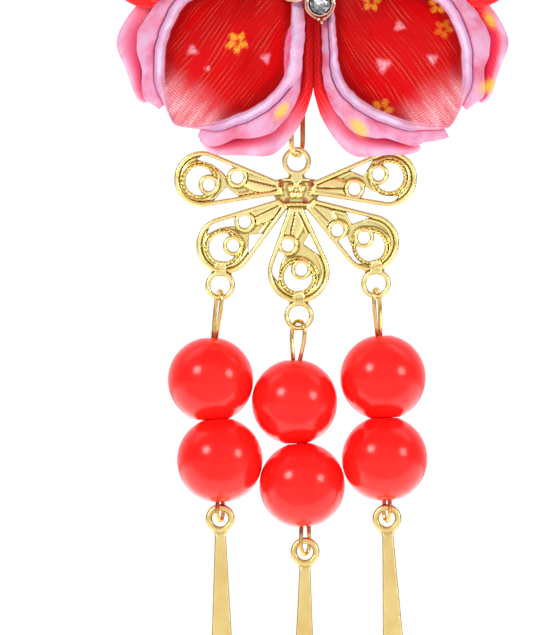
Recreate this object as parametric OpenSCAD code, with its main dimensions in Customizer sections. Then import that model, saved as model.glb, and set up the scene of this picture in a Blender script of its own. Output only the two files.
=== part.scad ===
// Kanzashi hair clip: a folded cloth flower on a spring clip, with a pierced gilt plate that hangs
// below it and carries three strands of two beads and a flat bar.
// The origin is the centre of the clip's mouth. +Z is up and -Y is the side that shows.

/* [Flower] */
// Distance from the flower's axis to the tip of a petal
petal_reach = 28; // [26:0.5:29]
// Height of a petal's rim above the back of the flower
petal_depth = 9.3; // [8.5:0.1:10.5]
// Thickness of a folded layer of cloth
cloth = 0.95; // [0.8:0.05:1]
// Gap between two layers of a petal
layer_gap = 0.25; // [0.2:0.01:0.3]

/* [Ornament] */
// Distance from the flower's axis to an outer stone
stone_ring = 8.2; // [8:0.1:9]
// Diameter of an outer stone
small_stone = 2.5; // [2.2:0.1:2.6]
// Diameter of the centre stone
big_stone = 5; // [4:0.1:5.4]

/* [Clip] */
// Length of the clip
clip_length = 48; // [44:1:54]
// Width of the clip's arms
clip_width = 8; // [6:0.5:9]
// Diameter of the round pad behind the flower
pad_d = 25; // [22:0.5:26]

/* [Drop] */
// Thickness of the pierced plate at its raised lines
plate_t = 0.9; // [0.8:0.05:1.1]
// Thickness of the pierced plate between its raised lines
web_t = 0.5; // [0.4:0.05:0.6]
// Diameter of a bead
bead_d = 10; // [9.6:0.1:10]
// Length of a bar
bar_length = 36; // [28:1:40]
// Thickness of a bar
bar_t = 0.5; // [0.4:0.05:0.8]
// Diameter of the wire of the jump ring
link_wire = 0.6; // [0.5:0.05:0.65]
// Diameter of the wire of the eye pins
pin_wire = 0.5; // [0.45:0.01:0.54]

/* [Hidden] */
STRANDS = ["left", "middle", "right"];
PETALS = ["lower_left", "lower_right", "right", "top", "left"];
PETAL_ANGLE = [-126, -54, 18, 90, 162];
$fn = 48;

// Depths along Y, from the mouth of the clip forwards
arm_back = -2.4;
arm_t = 0.8;
arm_front = arm_back - arm_t;
pad_t = 1;
pad_front = arm_front - pad_t;
flower_back = pad_front - 0.2;
drop_y = arm_back - arm_t / 2;

// Places of the jump ring and of what it joins
link_height = 7.95;
link_width = 4.6;
link_centre = [-1.9, drop_y, -22.42];
link_turn = 20;
seat = 0.26;
ear_hole_r = 1.15;
ear_r = 1.75;
ear_z = link_centre.z + link_height / 2 - link_wire - seat + ear_hole_r;

// Plan of a petal, for one half of it. Columns: distance along the petal, half width
ALONG = 0;
HALF = 1;
CUP_PLAN = [
    [6.2, 0], [6.6, 1.4], [8, 2.9], [10.5, 4.5], [14.5, 6.9], [17, 7.4],
    [20.4, 6.7], [23, 5.2], [24.8, 3.9], [26.4, 2.2], [27.4, 0.9], [27.8, 0]
];
WING_PLAN = [
    [2.7, 0], [3.2, 1.9], [6, 4.15], [9, 6.15], [12, 8.3], [15.1, 10.5],
    [18, 11.8], [20.5, 12], [23, 11.8], [24.5, 10.9], [26.2, 8.2], [28, 5.4], [27.6, 3.4], [27.6, 0]
];
// Edge of a petal by the angle seen from its floor, 0 at the tip.
// Columns: angle, height of the rim as a share of petal_depth, steepness of the wall
RIM = [
    [0, 0.72, 1.6], [15, 0.76, 1.8], [30, 0.83, 2.3], [50, 0.93, 3.2], [70, 1, 3.8],
    [100, 1, 3.8], [130, 0.86, 3], [150, 0.72, 2.6], [180, 0.58, 2.2]
];
// Share of the height of each petal. Columns follow PETALS
PETAL_RISE = [1, 0.98, 1.02, 1, 1.03];
plan_scale = petal_reach / 28;
floor_along = 14 * plan_scale;
mouth_angle = 13;
CUP_RAYS = [0, 6, 14, 24, 36, 50, 66, 84, 102, 120, 136, 150, 162, 172, 180];
FOLD_RAYS = [mouth_angle, 22, 34, 48, 64, 82, 100, 118, 134, 148, 160, 171, 180];
INNER_STEPS = [0.35, 0.62, 0.82, 0.94, 1];
OUTER_STEPS = [0.9, 0.72, 0.45];

// Pierced plate, in its own plane seen from the front. Each wing is a teardrop round a scroll.
// Columns: centre of the round end, its radius, two points at the root, centre of the scroll,
// small ring in the scroll, small ring by the leaf
END = 0;
END_R = 1;
ROOT_A = 2;
ROOT_B = 3;
SCROLL = 4;
RING_IN = 5;
RING_OUT = 6;
WINGS = [
    [[-13.2, -28.8], 3.33, [-4, -29.1], [-3.6, -30.6], [-13.5, -29.05], [-12.4, -29.5], [-9.02, -28.6]],
    [[9.05, -28.75], 3.33, [-0.4, -30.6], [0, -29.1], [9.1, -28.6], [7.8, -28.25], [4.95, -30]],
    [[-10.5, -36.7], 3.4, [-4.1, -31.2], [-3, -32.2], [-10.7, -37], [-9.5, -36.75], [-8.13, -33.9]],
    [[-1.7, -39.9], 3.69, [-2.9, -32.2], [-1.2, -32.2], [-1.79, -40.5], [-1.4, -39.6], [-2.99, -36.7]],
    [[6.85, -36.4], 3.42, [-0.9, -32.2], [0.2, -31.2], [6.85, -36.9], [6.06, -35.8], [2.9, -34.9]]
];
// Openings of a wing, for a round end of radius 1, from the centre of the end towards the root
WIDE_GAP = [
    [-0.29, 0.68], [0.06, 0.86], [0.74, 0.85], [1.1, 0.72], [1.24, 0.59], [0.97, 0.25], [0.86, 0.2],
    [0.65, 0.36], [0.28, 0.57], [-0.04, 0.64]
];
NARROW_GAP = [[0.9, -0.2], [1.48, -0.53], [1.56, -0.63], [0.38, -0.89], [0.66, -0.5]];
BOSS_EDGE = [
    [-4.7, -28.95], [-2.9, -28.6], [-1.1, -28.6], [0.7, -28.95], [0.75, -30.7], [-0.2, -32.5],
    [-3.8, -32.5], [-4.75, -30.7]
];
BOSS = [-2.02, -30.1];
// Small holes round the stamped flower, from its centre
BOSS_HOLES = [[-1.75, 0.65], [1.75, 0.65], [-1.05, -1.25], [1.05, -1.25]];
// Eyes of the plate. Columns: centre, outer radius, hole radius
TOP_EYE = [[-1.95, -26.71], 1.68, 1.15];
eye_t = 0.7;
LOWER_EYES = [
    [[-11.05, -41.5], 1.72, 1.2],
    [[-1.67, -45.1], 1.7, 1.25],
    [[7.5, -41.3], 1.72, 1.2]
];
// Necks that join the eyes to the plate, width and height
TOP_NECK = [1.7, 1];
top_neck_rise = 1.2;
LOWER_NECK = [1.4, 0.7];
lower_neck_rise = 1.35;
lower_neck_t = web_t + 0.1;
line_w = 0.45;
scroll_r = 1.67;
ring_r = 1.25;
ring_hole_r = 0.72;
// How far a ring's raised face stays inside its edge
ring_step = 0.1;
rib_spread = 0.62;
rib_w = 0.3;
dome_reach = 0.62;
dome_r = 0.42;
boss_hole_r = 0.36;

// Strands, as [x, z], and how far behind the plate each bead's centre is. Columns: upper bead, its
// depth, lower bead, its depth, foot of the top loop, top of the bottom loop, centre of the bar's
// ring, lean of the bar, turn of the top loop out of the view's line
UPPER = 0;
UPPER_DEPTH = 1;
LOWER = 2;
LOWER_DEPTH = 3;
FOOT = 4;
LOW = 5;
BAR_RING = 6;
BAR_LEAN = 7;
LOOP_TURN = 8;
STRAND = [
    [[-12.2, -52.74], 0.3, [-11.1, -62.26], -0.3, [-12.15, -47.65], [-11.05, -67.2], [-11.05, -69.23], 0.8, 14],
    [[-2.2, -55.36], 0.1, [-1.3, -65.24], -0.1, [-2.2, -50.25], [-0.95, -70.2], [-0.95, -73.2], -0.4, 38],
    [[8.33, -52.44], 0.2, [8.52, -62.11], -0.2, [8.15, -47.35], [8.8, -67.1], [8.8, -69.24], 2.9, 19]
];
// Beads are drilled through and flat round the hole
shaft_wire = 0.86 * pin_wire;
bead_bore = 1.5;
bead_length = 0.954 * bead_d;
top_loop_width = 3;
top_seat = 0.3;
bottom_loop_width = 2;
bar_seat = 0.12;
bar_ring_r = 1.7;
bar_hole_r = 1;
bar_neck = 1.24;
bar_neck_at = 1.4;
bar_end = 4;

// Petals

function polar(plan) = [
    for (p = plan)
        let (x = p[ALONG] * plan_scale - floor_along, y = p[HALF] * plan_scale)
        [atan2(y, x), norm([x, y])]
];
CUP_EDGE = polar(CUP_PLAN);
WING_EDGE = polar(WING_PLAN);
RIM_HEIGHT = [for (r = RIM) [r[0], r[1]]];
RIM_STEEPNESS = [for (r = RIM) [r[0], r[2]]];

// Distances from the floor point to the cup's rim and to the wing's edge
function cup_r(turn) = lookup(turn, CUP_EDGE);
function wing_r(turn) = lookup(turn, WING_EDGE);
// Layers crowd together where the band between the rim and the wing's edge is narrow
function crowding(turn) = min(1, (wing_r(turn) - cup_r(turn)) / 4);
function sag(turn) = 0.7 * (1 - crowding(turn));

// Wall that climbs from the floor to the edge as [distance, height] at each step
function climb(steps, r, floor_h, edge_h, steepness) = [
    for (t = steps) [r * t, floor_h + (edge_h - floor_h) * pow(t, steepness)]
];

// One section through a layer, from the floor point out along its upper face and back below
function cup_section(turn, rise) =
    let (h = petal_depth * rise * lookup(turn, RIM_HEIGHT), n = lookup(turn, RIM_STEEPNESS),
         k = crowding(turn), r = cup_r(turn), wall = cloth * k, low = h / petal_depth)
    concat(
        climb(INNER_STEPS, r, 3.8, h - 0.4 * low, n),
        [[r + 0.2 * wall, h - 0.08 * low], [r + 0.6 * wall, h], [r + wall, h - 0.4 * low - sag(turn)]],
        climb([0.93, 0.8, 0.62, 0.35], r + wall, 2.8, h - 0.45 * low - sag(turn), n)
    );

function collar_section(turn, rise) =
    let (h = petal_depth * rise * lookup(turn, RIM_HEIGHT), n = lookup(turn, RIM_STEEPNESS),
         k = crowding(turn), low = h / petal_depth, top = h - sag(turn),
         r_in = cup_r(turn) + (cloth + layer_gap) * k, r_out = r_in + cloth * k,
         lip = cup_r(turn) + 0.6 * (wing_r(turn) - cup_r(turn)))
    concat(
        climb(INNER_STEPS, r_in, 2.5, top - 1.3 * low, n),
        [[r_in + 0.45 * (lip - r_in), top - 1.2 * low], [lip, top - 1.9 * low],
         [lip - 0.1 * k, top - 2.45 * low]],
        [[r_out, top - 2.95 * low]],
        climb(OUTER_STEPS, r_out, 1.5, top - 3.1 * low, n)
    );

function wing_section(turn, rise) =
    let (h = petal_depth * rise * lookup(turn, RIM_HEIGHT), n = lookup(turn, RIM_STEEPNESS),
         k = crowding(turn), low = h / petal_depth, top = h - 1.8 * sag(turn),
         r_in = cup_r(turn) + 2 * (cloth + layer_gap) * k, edge = wing_r(turn))
    concat(
        climb(INNER_STEPS, r_in, 1.2, top - 3.5 * low, n),
        [[r_in + 0.35 * (edge - r_in), top - 3.1 * low], [r_in + 0.78 * (edge - r_in), top - 3.65 * low],
         [edge, 0.5 * h - sag(turn)]],
        [[edge - 0.14 * k, 0.36 * h - sag(turn)], [edge - 0.8 * k, 0.18 * h - 0.4 * sag(turn)]],
        [[0.78 * edge, 0.6 * low], [0.5 * edge, 0.35 * low]]
    );

// Mirrors the half list of angles and turns each section into points about the floor point
function full_turn(rays, shut) = concat(rays, [for (i = [len(rays) - 2:-1:shut ? 1 : 0]) 360 - rays[i]]);
function section_points(section, turn) = [
    for (p = section) [floor_along + p[0] * cos(turn), p[0] * sin(turn), p[1]]
];
function half_angle(turn) = turn > 180 ? 360 - turn : turn;

// Shell swept round the floor point, shut all round or open at the tip with two blunt ends
module swept_shell(sections, floor_in, floor_out, shut) {
    rays = len(sections);
    steps = len(sections[0]);
    points = concat([for (s = sections) for (p = s) p],
        [[floor_along, 0, floor_in], [floor_along, 0, floor_out]]);
    pole_in = rays * steps;
    pole_out = pole_in + 1;
    spans = shut ? rays : rays - 1;
    last = (rays - 1) * steps;
    skin = [
        for (i = [0:spans - 1])
            let (a = i * steps, b = ((i + 1) % rays) * steps)
            for (f = concat(
                [[pole_in, b, a], [pole_out, a + steps - 1, b + steps - 1]],
                [for (j = [0:steps - 2]) each [[a + j, b + j, b + j + 1], [a + j, b + j + 1, a + j + 1]]]
            )) f
    ];
    first_end = [
        [pole_in, 0, steps - 1], [pole_in, steps - 1, pole_out],
        for (j = [0:steps / 2 - 2])
            each [[j, j + 1, steps - 2 - j], [j, steps - 2 - j, steps - 1 - j]]
    ];
    ends = concat(first_end, [
        for (f = first_end) [for (i = [2:-1:0]) f[i] >= pole_in ? f[i] : f[i] + last]
    ]);
    polyhedron(points = points, faces = shut ? skin : concat(skin, ends), convexity = 6);
}

module petal_place(i) {
    translate([0, flower_back, 0]) rotate([0, -PETAL_ANGLE[i], 0]) rotate([90, 0, 0]) children();
}

module cup(i) {
    turns = full_turn(CUP_RAYS, true);
    color([0.88, 0.05, 0.1]) petal_place(i)
        swept_shell([for (a = turns) section_points(cup_section(half_angle(a), PETAL_RISE[i]), a)],
            3.8, 2.8, true);
}

module collar(i) {
    turns = full_turn(FOLD_RAYS, false);
    color([1, 0.6, 0.79]) petal_place(i)
        swept_shell([for (a = turns) section_points(collar_section(half_angle(a), PETAL_RISE[i]), a)],
            2.5, 1.5, false);
}

module wing(i) {
    turns = full_turn(FOLD_RAYS, false);
    color([0.98, 0.62, 0.76]) petal_place(i)
        swept_shell([for (a = turns) section_points(wing_section(half_angle(a), PETAL_RISE[i]), a)],
            1.2, 0.2, false);
}

// Centre ornament

ornament_back = 7.4;
ornament_t = 0.8;
ornament_turn = 5.4;
stem_d = 3;
disc_r = 3.9;
// Arms from the disc to the outer bezels
arm_start = 3;
arm_w = 1;
big_wall = 0.45;
small_wall = 0.35;
big_bezel_h = 2.6;
small_bezel_h = 1.9;
seat_gap = 0.1;
claw_d = 0.5;
claw_out = 0.32;
claw_rise = 0.45;
// Three grains at the tip of an outer bezel, from its centre
GRAINS = [[1.66, -0.3], [1.66, 0.3], [1.95, 0]];
grain_r = 0.34;
// Soldered rings on both sides of each outer bezel
leaf_reach = 6;
leaf_aside = 27;
leaf_r = 2.45;
leaf_hole_r = 1.8;
// How far the two rings of a bezel stay inside the faces of the disc
LEAF_STEP = [0.05, 0.1];
// How far a stone's point stands above the back of its bezel
big_point = 1.05;
small_point = 1;
pavilion = 0.3;
OUTER_ANGLE = [for (a = PETAL_ANGLE) a + 36 + ornament_turn];

module face_place(angle = 0, reach = 0) {
    translate([0, flower_back, 0]) rotate([0, -angle, 0]) rotate([90, 0, 0])
        translate([reach, 0, 0]) children();
}

// Round setting with a drilled seat
module bezel(stone_d, wall, height) {
    difference() {
        cylinder(d = stone_d + 2 * wall, h = height);
        translate([0, 0, ornament_t]) cylinder(d = stone_d + seat_gap, h = height);
    }
}

module centre_setting() {
    color([0.92, 0.75, 0.6]) {
        face_place() translate([0, 0, seat_gap]) cylinder(d = stem_d, h = ornament_back);
        face_place() translate([0, 0, ornament_back]) {
            cylinder(r = disc_r, h = ornament_t);
            bezel(big_stone, big_wall, big_bezel_h);
            for (a = [45:90:315]) rotate([0, 0, a])
                translate([big_stone / 2 + claw_out, 0, 0]) cylinder(d = claw_d, h = big_bezel_h + claw_rise);
        }
        for (a = OUTER_ANGLE) {
            face_place(a) translate([arm_start, -arm_w / 2, ornament_back])
                cube([stone_ring - arm_start - arm_w, arm_w, ornament_t]);
            face_place(a, stone_ring) translate([0, 0, ornament_back]) {
                bezel(small_stone, small_wall, small_bezel_h);
                for (p = GRAINS) translate(p) cylinder(r = grain_r, h = ornament_t);
            }
            for (side = [0, 1]) face_place(a + (2 * side - 1) * leaf_aside, leaf_reach)
                translate([0, 0, ornament_back + LEAF_STEP[side]]) difference() {
                    cylinder(r = leaf_r, h = ornament_t - 2 * LEAF_STEP[side]);
                    translate([0, 0, -1]) cylinder(r = leaf_hole_r, h = ornament_t + 2);
                }
        }
    }
}

// Round stone cut with a table, two rows of crown facets and a pointed pavilion
module cut_stone(d, sides) {
    // Columns: share of the radius, share of the diameter in height, turn in half facets
    rows = [[0.56, 0.17, 0], [0.84, 0.09, 1], [1, 0.01, 0], [1, -0.03, 0]];
    points = concat(
        [for (row = rows) for (i = [0:sides - 1])
            let (a = (i + row[2] / 2) * 360 / sides, r = row[0] * d / 2)
            [r * cos(a), r * sin(a), row[1] * d]],
        [[0, 0, -pavilion * d]]
    );
    tip = len(rows) * sides;
    even = [for (r = [0, 2]) for (i = [0:sides - 1]) let (j = (i + 1) % sides, a = r * sides, b = a + sides)
        each [[a + i, a + j, b + i], [a + j, b + j, b + i]]];
    odd = [for (i = [0:sides - 1]) let (j = (i + 1) % sides, a = sides, b = 2 * sides)
        each [[a + i, a + j, b + j], [a + i, b + j, b + i]]];
    polyhedron(points = points, faces = concat(
        [[for (i = [sides - 1:-1:0]) i]], even, odd,
        [for (i = [0:sides - 1]) [3 * sides + i, 3 * sides + (i + 1) % sides, tip]]
    ));
}

module centre_stone() {
    color([0.86, 0.9, 0.95]) face_place()
        translate([0, 0, ornament_back + big_point + pavilion * big_stone]) cut_stone(big_stone, 12);
}

module outer_stone(i) {
    color([0.86, 0.9, 0.95]) face_place(OUTER_ANGLE[i - 1], stone_ring)
        translate([0, 0, ornament_back + small_point + pavilion * small_stone]) cut_stone(small_stone, 8);
}

// Clip

// Rolled heel that joins the two arms
HEEL = [8.7, -0.9];
heel_d = 3.6;

module clip() {
    tip_x = -clip_length / 2 - 1;
    heel_x = tip_x + clip_length;
    // Outline of the sprung arm: its inner edge towards the heel, then its outer edge back
    sprung_arm = [
        [tip_x, arm_back + 0.3], [-20, -0.4], [-15, 1.3], [-9.5, 2.4], [-3, 2.5], [3.5, 2.2], [7, 0.4],
        [10, 0.2], [heel_x - 1, 4], [heel_x - 1, 4.9], [10, 1.2], [7.5, 1.3], [4, 3.1], [-3, 3.4],
        [-10, 3.3], [-15.6, 2.1], [-20.5, 0.4], [tip_x, -1.2]
    ];
    color([0.75, 0.75, 0.77]) {
        translate([tip_x, arm_front, -clip_width / 2]) cube([clip_length - 3, arm_t, clip_width]);
        translate([0, 0, -clip_width / 2]) linear_extrude(clip_width) polygon(sprung_arm);
        translate([HEEL.x, HEEL.y, -clip_width / 2]) cylinder(d = heel_d, h = clip_width);
        translate([0, pad_front, 0]) rotate([-90, 0, 0]) cylinder(d = pad_d, h = pad_t);
        difference() {
            translate([link_centre.x, arm_back, 0]) rotate([90, 0, 0]) linear_extrude(arm_t) {
                translate([0, ear_z]) circle(r = ear_r);
                translate([-ear_r, ear_z]) square([2 * ear_r, -ear_z]);
            }
            translate([link_centre.x, arm_back + 1, ear_z]) rotate([90, 0, 0])
                cylinder(r = ear_hole_r, h = arm_t + 2);
        }
    }
}

// Oval ring of round wire that stands in the XZ plane, by its outer sizes
module oval_ring(height, width, wire) {
    bend = (width - wire) / 2;
    straight = height - width;
    for (side = [0, 1]) mirror([0, 0, side]) translate([0, 0, straight / 2]) rotate([90, 0, 0])
        rotate_extrude(angle = 180) translate([bend, 0]) circle(d = wire);
    for (side = [-1, 1]) translate([side * bend, 0, -straight / 2]) cylinder(d = wire, h = straight);
}

module link() {
    color([0.9, 0.72, 0.4]) translate(link_centre) rotate([0, 0, 90 - link_turn])
        oval_ring(link_height, link_width, link_wire);
}

// Pierced plate

// A wing's own axes: from the centre of its end towards its root, and across
function wing_axis(w) = let (d = (w[ROOT_A] + w[ROOT_B]) / 2 - w[END]) d / norm(d);
function wing_point(w, p) = let (e = wing_axis(w)) w[END] + p.x * e + p.y * [-e.y, e.x];
function on_wing(w, p) = let (e = wing_axis(w), d = p - w[END]) [d * e, d * [-e.y, e.x]];

// Teardrop from one root point round the end and back to the other, drawn in by a margin
function teardrop(w, margin) =
    let (r = w[END_R] - margin,
         p = on_wing(w, w[ROOT_A]) - [margin, margin * 0.9],
         q = on_wing(w, w[ROOT_B]) - [margin, -margin * 0.9],
         a = atan2(p.y, p.x) + acos(r / norm(p)), b = atan2(q.y, q.x) - acos(r / norm(q)) + 360)
    [for (v = concat([p], [for (t = [0:1 / 22:1.001]) let (c = a + (b - a) * t) r * [cos(c), sin(c)]], [q]))
        wing_point(w, v)];

module disc_at(c, r) {
    translate(c) circle(r = r);
}

module line_between(p, q, width) {
    d = (q - p) / norm(q - p);
    n = [-d.y, d.x] * width / 2;
    polygon([p + n, p - n, q - n, q + n]);
}

module wing_web(w) {
    difference() {
        polygon(teardrop(w, 0));
        for (gap = [WIDE_GAP, NARROW_GAP]) polygon([for (p = gap) wing_point(w, p * w[END_R])]);
        disc_at(w[SCROLL], scroll_r);
    }
    difference() {
        disc_at(w[SCROLL], scroll_r + line_w);
        disc_at(w[SCROLL], scroll_r);
    }
    disc_at(w[RING_IN], ring_r);
    disc_at(w[RING_OUT], ring_r);
}

module wing_lines(w) {
    difference() {
        polygon(teardrop(w, 0));
        polygon(teardrop(w, line_w));
    }
    difference() {
        disc_at(w[SCROLL], scroll_r + line_w);
        disc_at(w[SCROLL], scroll_r);
    }
    for (c = [w[RING_IN], w[RING_OUT]]) disc_at(c, ring_r - ring_step);
    // Ribs of the leaf
    root = (w[ROOT_A] + w[ROOT_B]) / 2;
    for (side = [rib_spread, -rib_spread])
        line_between(root, w[RING_OUT] + side * (w[ROOT_A] - w[ROOT_B]), rib_w);
}

module filigree() {
    eyes = concat([TOP_EYE], LOWER_EYES);
    color([0.95, 0.82, 0.42]) translate([0, drop_y + plate_t / 2, 0]) rotate([90, 0, 0]) difference() {
        union() {
            for (w = WINGS) {
                linear_extrude(web_t) wing_web(w);
                linear_extrude(plate_t) wing_lines(w);
            }
            linear_extrude(web_t) polygon(BOSS_EDGE);
            for (eye = eyes) translate(eye[0]) cylinder(r = eye[1], h = eye_t);
            translate([TOP_EYE[0].x - TOP_NECK.x / 2, BOSS.y + top_neck_rise])
                cube([TOP_NECK.x, TOP_NECK.y, plate_t]);
            for (eye = LOWER_EYES) translate([eye[0].x - LOWER_NECK.x / 2, eye[0].y + lower_neck_rise])
                cube([LOWER_NECK.x, LOWER_NECK.y, lower_neck_t]);
            // Stamped flower
            for (a = [90:72:378]) translate(BOSS + dome_reach * [cos(a), sin(a)])
                cylinder(r = dome_r, h = plate_t);
        }
        for (w = WINGS) for (c = [w[RING_IN], w[RING_OUT]])
            translate([c.x, c.y, -1]) cylinder(r = ring_hole_r, h = plate_t + 2);
        for (eye = eyes) translate([eye[0].x, eye[0].y, -1]) cylinder(r = eye[2], h = plate_t + 2);
        for (p = BOSS_HOLES) translate([BOSS.x + p.x, BOSS.y + p.y, -1])
            cylinder(r = boss_hole_r, h = plate_t + 2);
    }
}

// Strands

// Oval ring as one swept mesh, for wires that lean: the same ring as above with an eight-sided wire
module oval_mesh(height, width, wire) {
    bend = (width - wire) / 2;
    rise = (height - width) / 2;
    sides = 8;
    turn_list = concat([for (t = [0:22.5:180]) [t, rise]], [for (t = [180:22.5:360]) [t, -rise]]);
    rings = len(turn_list);
    points = [
        for (ring = turn_list) for (j = [0:sides - 1])
            let (out = bend + wire / 2 * cos(j * 360 / sides), aside = wire / 2 * sin(j * 360 / sides))
            [out * cos(ring[0]), aside, ring[1] + out * sin(ring[0])]
    ];
    polyhedron(points = points, faces = [
        for (i = [0:rings - 1]) for (j = [0:sides - 1])
            let (a = i * sides, b = ((i + 1) % rings) * sides, k = (j + 1) % sides)
            each [[a + j, b + j, b + k], [a + j, b + k, a + k]]
    ]);
}

function in_strand(s, place, depth) = [STRAND[s][place].x, drop_y + depth, STRAND[s][place].y];
function foot(s) = in_strand(s, FOOT, 2 * STRAND[s][UPPER_DEPTH]);
function low(s) = in_strand(s, LOW, 2 * STRAND[s][LOWER_DEPTH]);

// Turns +Z along a vector and then moves to a point
module along(v, at) {
    translate(at) rotate([0, acos(v.z / norm(v)), atan2(v.y, v.x)]) children();
}

module eye_pin(s) {
    eye = LOWER_EYES[s];
    top = [eye[0].x, drop_y, eye[0].y - eye[2] + top_seat + pin_wire / 2];
    fall = foot(s) - top;
    heading = atan2(fall.y, fall.x);
    shaft = low(s) - foot(s);
    drop = low(s).z + pin_wire / 2 - (STRAND[s][BAR_RING].y + bar_hole_r - bar_seat - pin_wire);
    color([0.85, 0.62, 0.38]) {
        along(fall, (top + foot(s)) / 2) rotate([0, 0, heading - 90 - STRAND[s][LOOP_TURN]])
            oval_mesh(norm(fall) + pin_wire, top_loop_width, pin_wire);
        along(shaft, foot(s)) cylinder(d = shaft_wire, h = norm(shaft), $fn = 10);
        translate(low(s) - [0, 0, (drop - pin_wire) / 2]) rotate([0, 0, 90])
            oval_mesh(drop, bottom_loop_width, pin_wire);
    }
}

module bead(s, place, depth) {
    color([0.93, 0.12, 0.1]) along(low(s) - foot(s), in_strand(s, place, STRAND[s][depth])) difference() {
        intersection() {
            sphere(d = bead_d);
            cube([2 * bead_d, 2 * bead_d, bead_length], center = true);
        }
        cylinder(d = bead_bore, h = 2 * bead_d, center = true);
    }
}

module bar(s) {
    reach = bar_length - bar_end / 2 - bar_ring_r;
    color([0.85, 0.73, 0.4])
        translate([STRAND[s][BAR_RING].x, low(s).y + bar_t / 2, STRAND[s][BAR_RING].y])
        rotate([0, -STRAND[s][BAR_LEAN], 0]) rotate([90, 0, 0]) difference() {
            union() {
                cylinder(r = bar_ring_r, h = bar_t);
                linear_extrude(bar_t) polygon([
                    [-bar_neck / 2, -bar_neck_at], [-bar_end / 2, -reach], [bar_end / 2, -reach],
                    [bar_neck / 2, -bar_neck_at]
                ]);
                translate([0, -reach]) cylinder(d = bar_end, h = bar_t);
            }
            translate([0, 0, -1]) cylinder(r = bar_hole_r, h = bar_t + 2);
        }
}

clip();
centre_setting();
centre_stone();
for (i = [1:5]) outer_stone(i);
for (i = [0:4]) cup(i);
for (i = [0:4]) collar(i);
for (i = [0:4]) wing(i);
link();
filigree();
for (s = [0:2]) eye_pin(s);
for (s = [0:2]) bead(s, UPPER, UPPER_DEPTH);
for (s = [0:2]) bead(s, LOWER, LOWER_DEPTH);
for (s = [0:2]) bar(s);
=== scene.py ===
# Kanzashi hair clip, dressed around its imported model. Lengths in the settings are millimetres.
import math
from functools import partial

import bpy
import numpy as np
from mathutils import Matrix, Vector


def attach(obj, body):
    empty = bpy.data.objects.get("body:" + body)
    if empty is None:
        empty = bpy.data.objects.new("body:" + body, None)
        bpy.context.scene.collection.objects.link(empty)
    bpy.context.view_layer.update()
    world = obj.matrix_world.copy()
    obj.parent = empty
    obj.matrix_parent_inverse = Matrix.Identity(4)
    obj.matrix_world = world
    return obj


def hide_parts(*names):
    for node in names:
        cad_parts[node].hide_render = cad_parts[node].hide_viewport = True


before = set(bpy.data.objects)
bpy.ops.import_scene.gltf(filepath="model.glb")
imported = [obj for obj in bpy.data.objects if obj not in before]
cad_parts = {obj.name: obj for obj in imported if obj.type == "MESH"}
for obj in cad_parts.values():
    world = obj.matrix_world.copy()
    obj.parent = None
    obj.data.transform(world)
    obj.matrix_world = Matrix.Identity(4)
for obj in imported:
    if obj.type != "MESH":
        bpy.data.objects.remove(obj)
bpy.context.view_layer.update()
mm = 0.001
fullTurn = 2 * math.pi


# Small helpers

def toLinear(hexColour):  # sRGB hex to the linear colour that the shaders take
    parts = [int(hexColour[i:i + 2], 16) / 255 for i in (1, 3, 5)]
    return tuple(c / 12.92 if c <= 0.04045 else ((c + 0.055) / 1.055) ** 2.4 for c in parts) + (1,)


nodeModes = {
    "Math": "operation", "Mix": "data_type", "MapRange": "interpolation_type", "Attribute": "attribute_name"}


def addNode(tree, kind, *feeds, **named):  # one node: kind and mode, its inputs in order, then others by name
    kind, _, mode = kind.partition(" ")
    node = tree.nodes.new("ShaderNode" + kind)
    if mode:
        setattr(node, nodeModes[kind], mode)
    order = (0, 6, 7) if kind == "Mix" else range(len(feeds))  # a mix of colours has them at 6 and 7
    for name, value in [*zip(order, feeds), *named.items()]:
        if isinstance(value, bpy.types.Node):
            value = next(out for out in value.outputs if out.enabled)
        if isinstance(value, str) and value[0] == "#":
            value = toLinear(value)
        if isinstance(value, bpy.types.NodeSocket):
            tree.links.new(value, node.inputs[name])
        elif name == "stops":
            for stop, (place, colour) in zip(node.color_ramp.elements, value):
                stop.position, stop.color = place, toLinear(colour)
        elif isinstance(name, int) or name in node.inputs:
            node.inputs[name].default_value = value
        else:
            setattr(node, name, value)
    return node


def newMaterial(name):  # an empty material, and what adds nodes to it
    material = bpy.data.materials.new(name)
    material.use_nodes = True
    material.node_tree.nodes.clear()
    return material, partial(addNode, material.node_tree)


def addObject(name, data):
    made = bpy.data.objects.new(name, data)
    bpy.context.scene.collection.objects.link(made)
    return made


def addMesh(name, points, faces, materials, sharpAngle, faceMaterial=None):
    mesh = bpy.data.meshes.new(name)
    mesh.from_pydata((np.asarray(points, float) * mm).tolist(), [], faces)
    for material in materials:
        mesh.materials.append(material)
    mesh.polygons.foreach_set("use_smooth", np.ones(len(mesh.polygons), bool))
    if faceMaterial is not None:
        mesh.polygons.foreach_set("material_index", np.asarray(faceMaterial, np.int32))
    mesh.update()
    mesh.set_sharp_from_angle(angle=math.radians(sharpAngle))
    return addObject(name, mesh)


def addValues(piece, **named):  # one number, or one place, for each point of the mesh
    for name, values in named.items():
        values = np.asarray(values, np.float32)
        kind, key = ("FLOAT_VECTOR", "vector") if values.ndim == 2 else ("FLOAT", "value")
        piece.data.attributes.new(name, kind, "POINT").data.foreach_set(key, values.ravel())


def dress(piece, body, node):  # puts a finished piece on its body, in the place of its CAD node
    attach(piece, body)
    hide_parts(node)


def loopGrid(rows, cols, closeRows, closeCols):  # quads of a grid of points, row after row
    faces = []
    for i in range(rows if closeRows else rows - 1):
        k = (i + 1) % rows
        for j in range(cols if closeCols else cols - 1):
            n = (j + 1) % cols
            faces.append((i * cols + j, k * cols + j, k * cols + n, i * cols + n))
    return faces


def smoothStep(x, low, high):
    t = np.clip((np.asarray(x, float) - low) / (high - low), 0, 1)
    return t * t * (3 - 2 * t)


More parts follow.
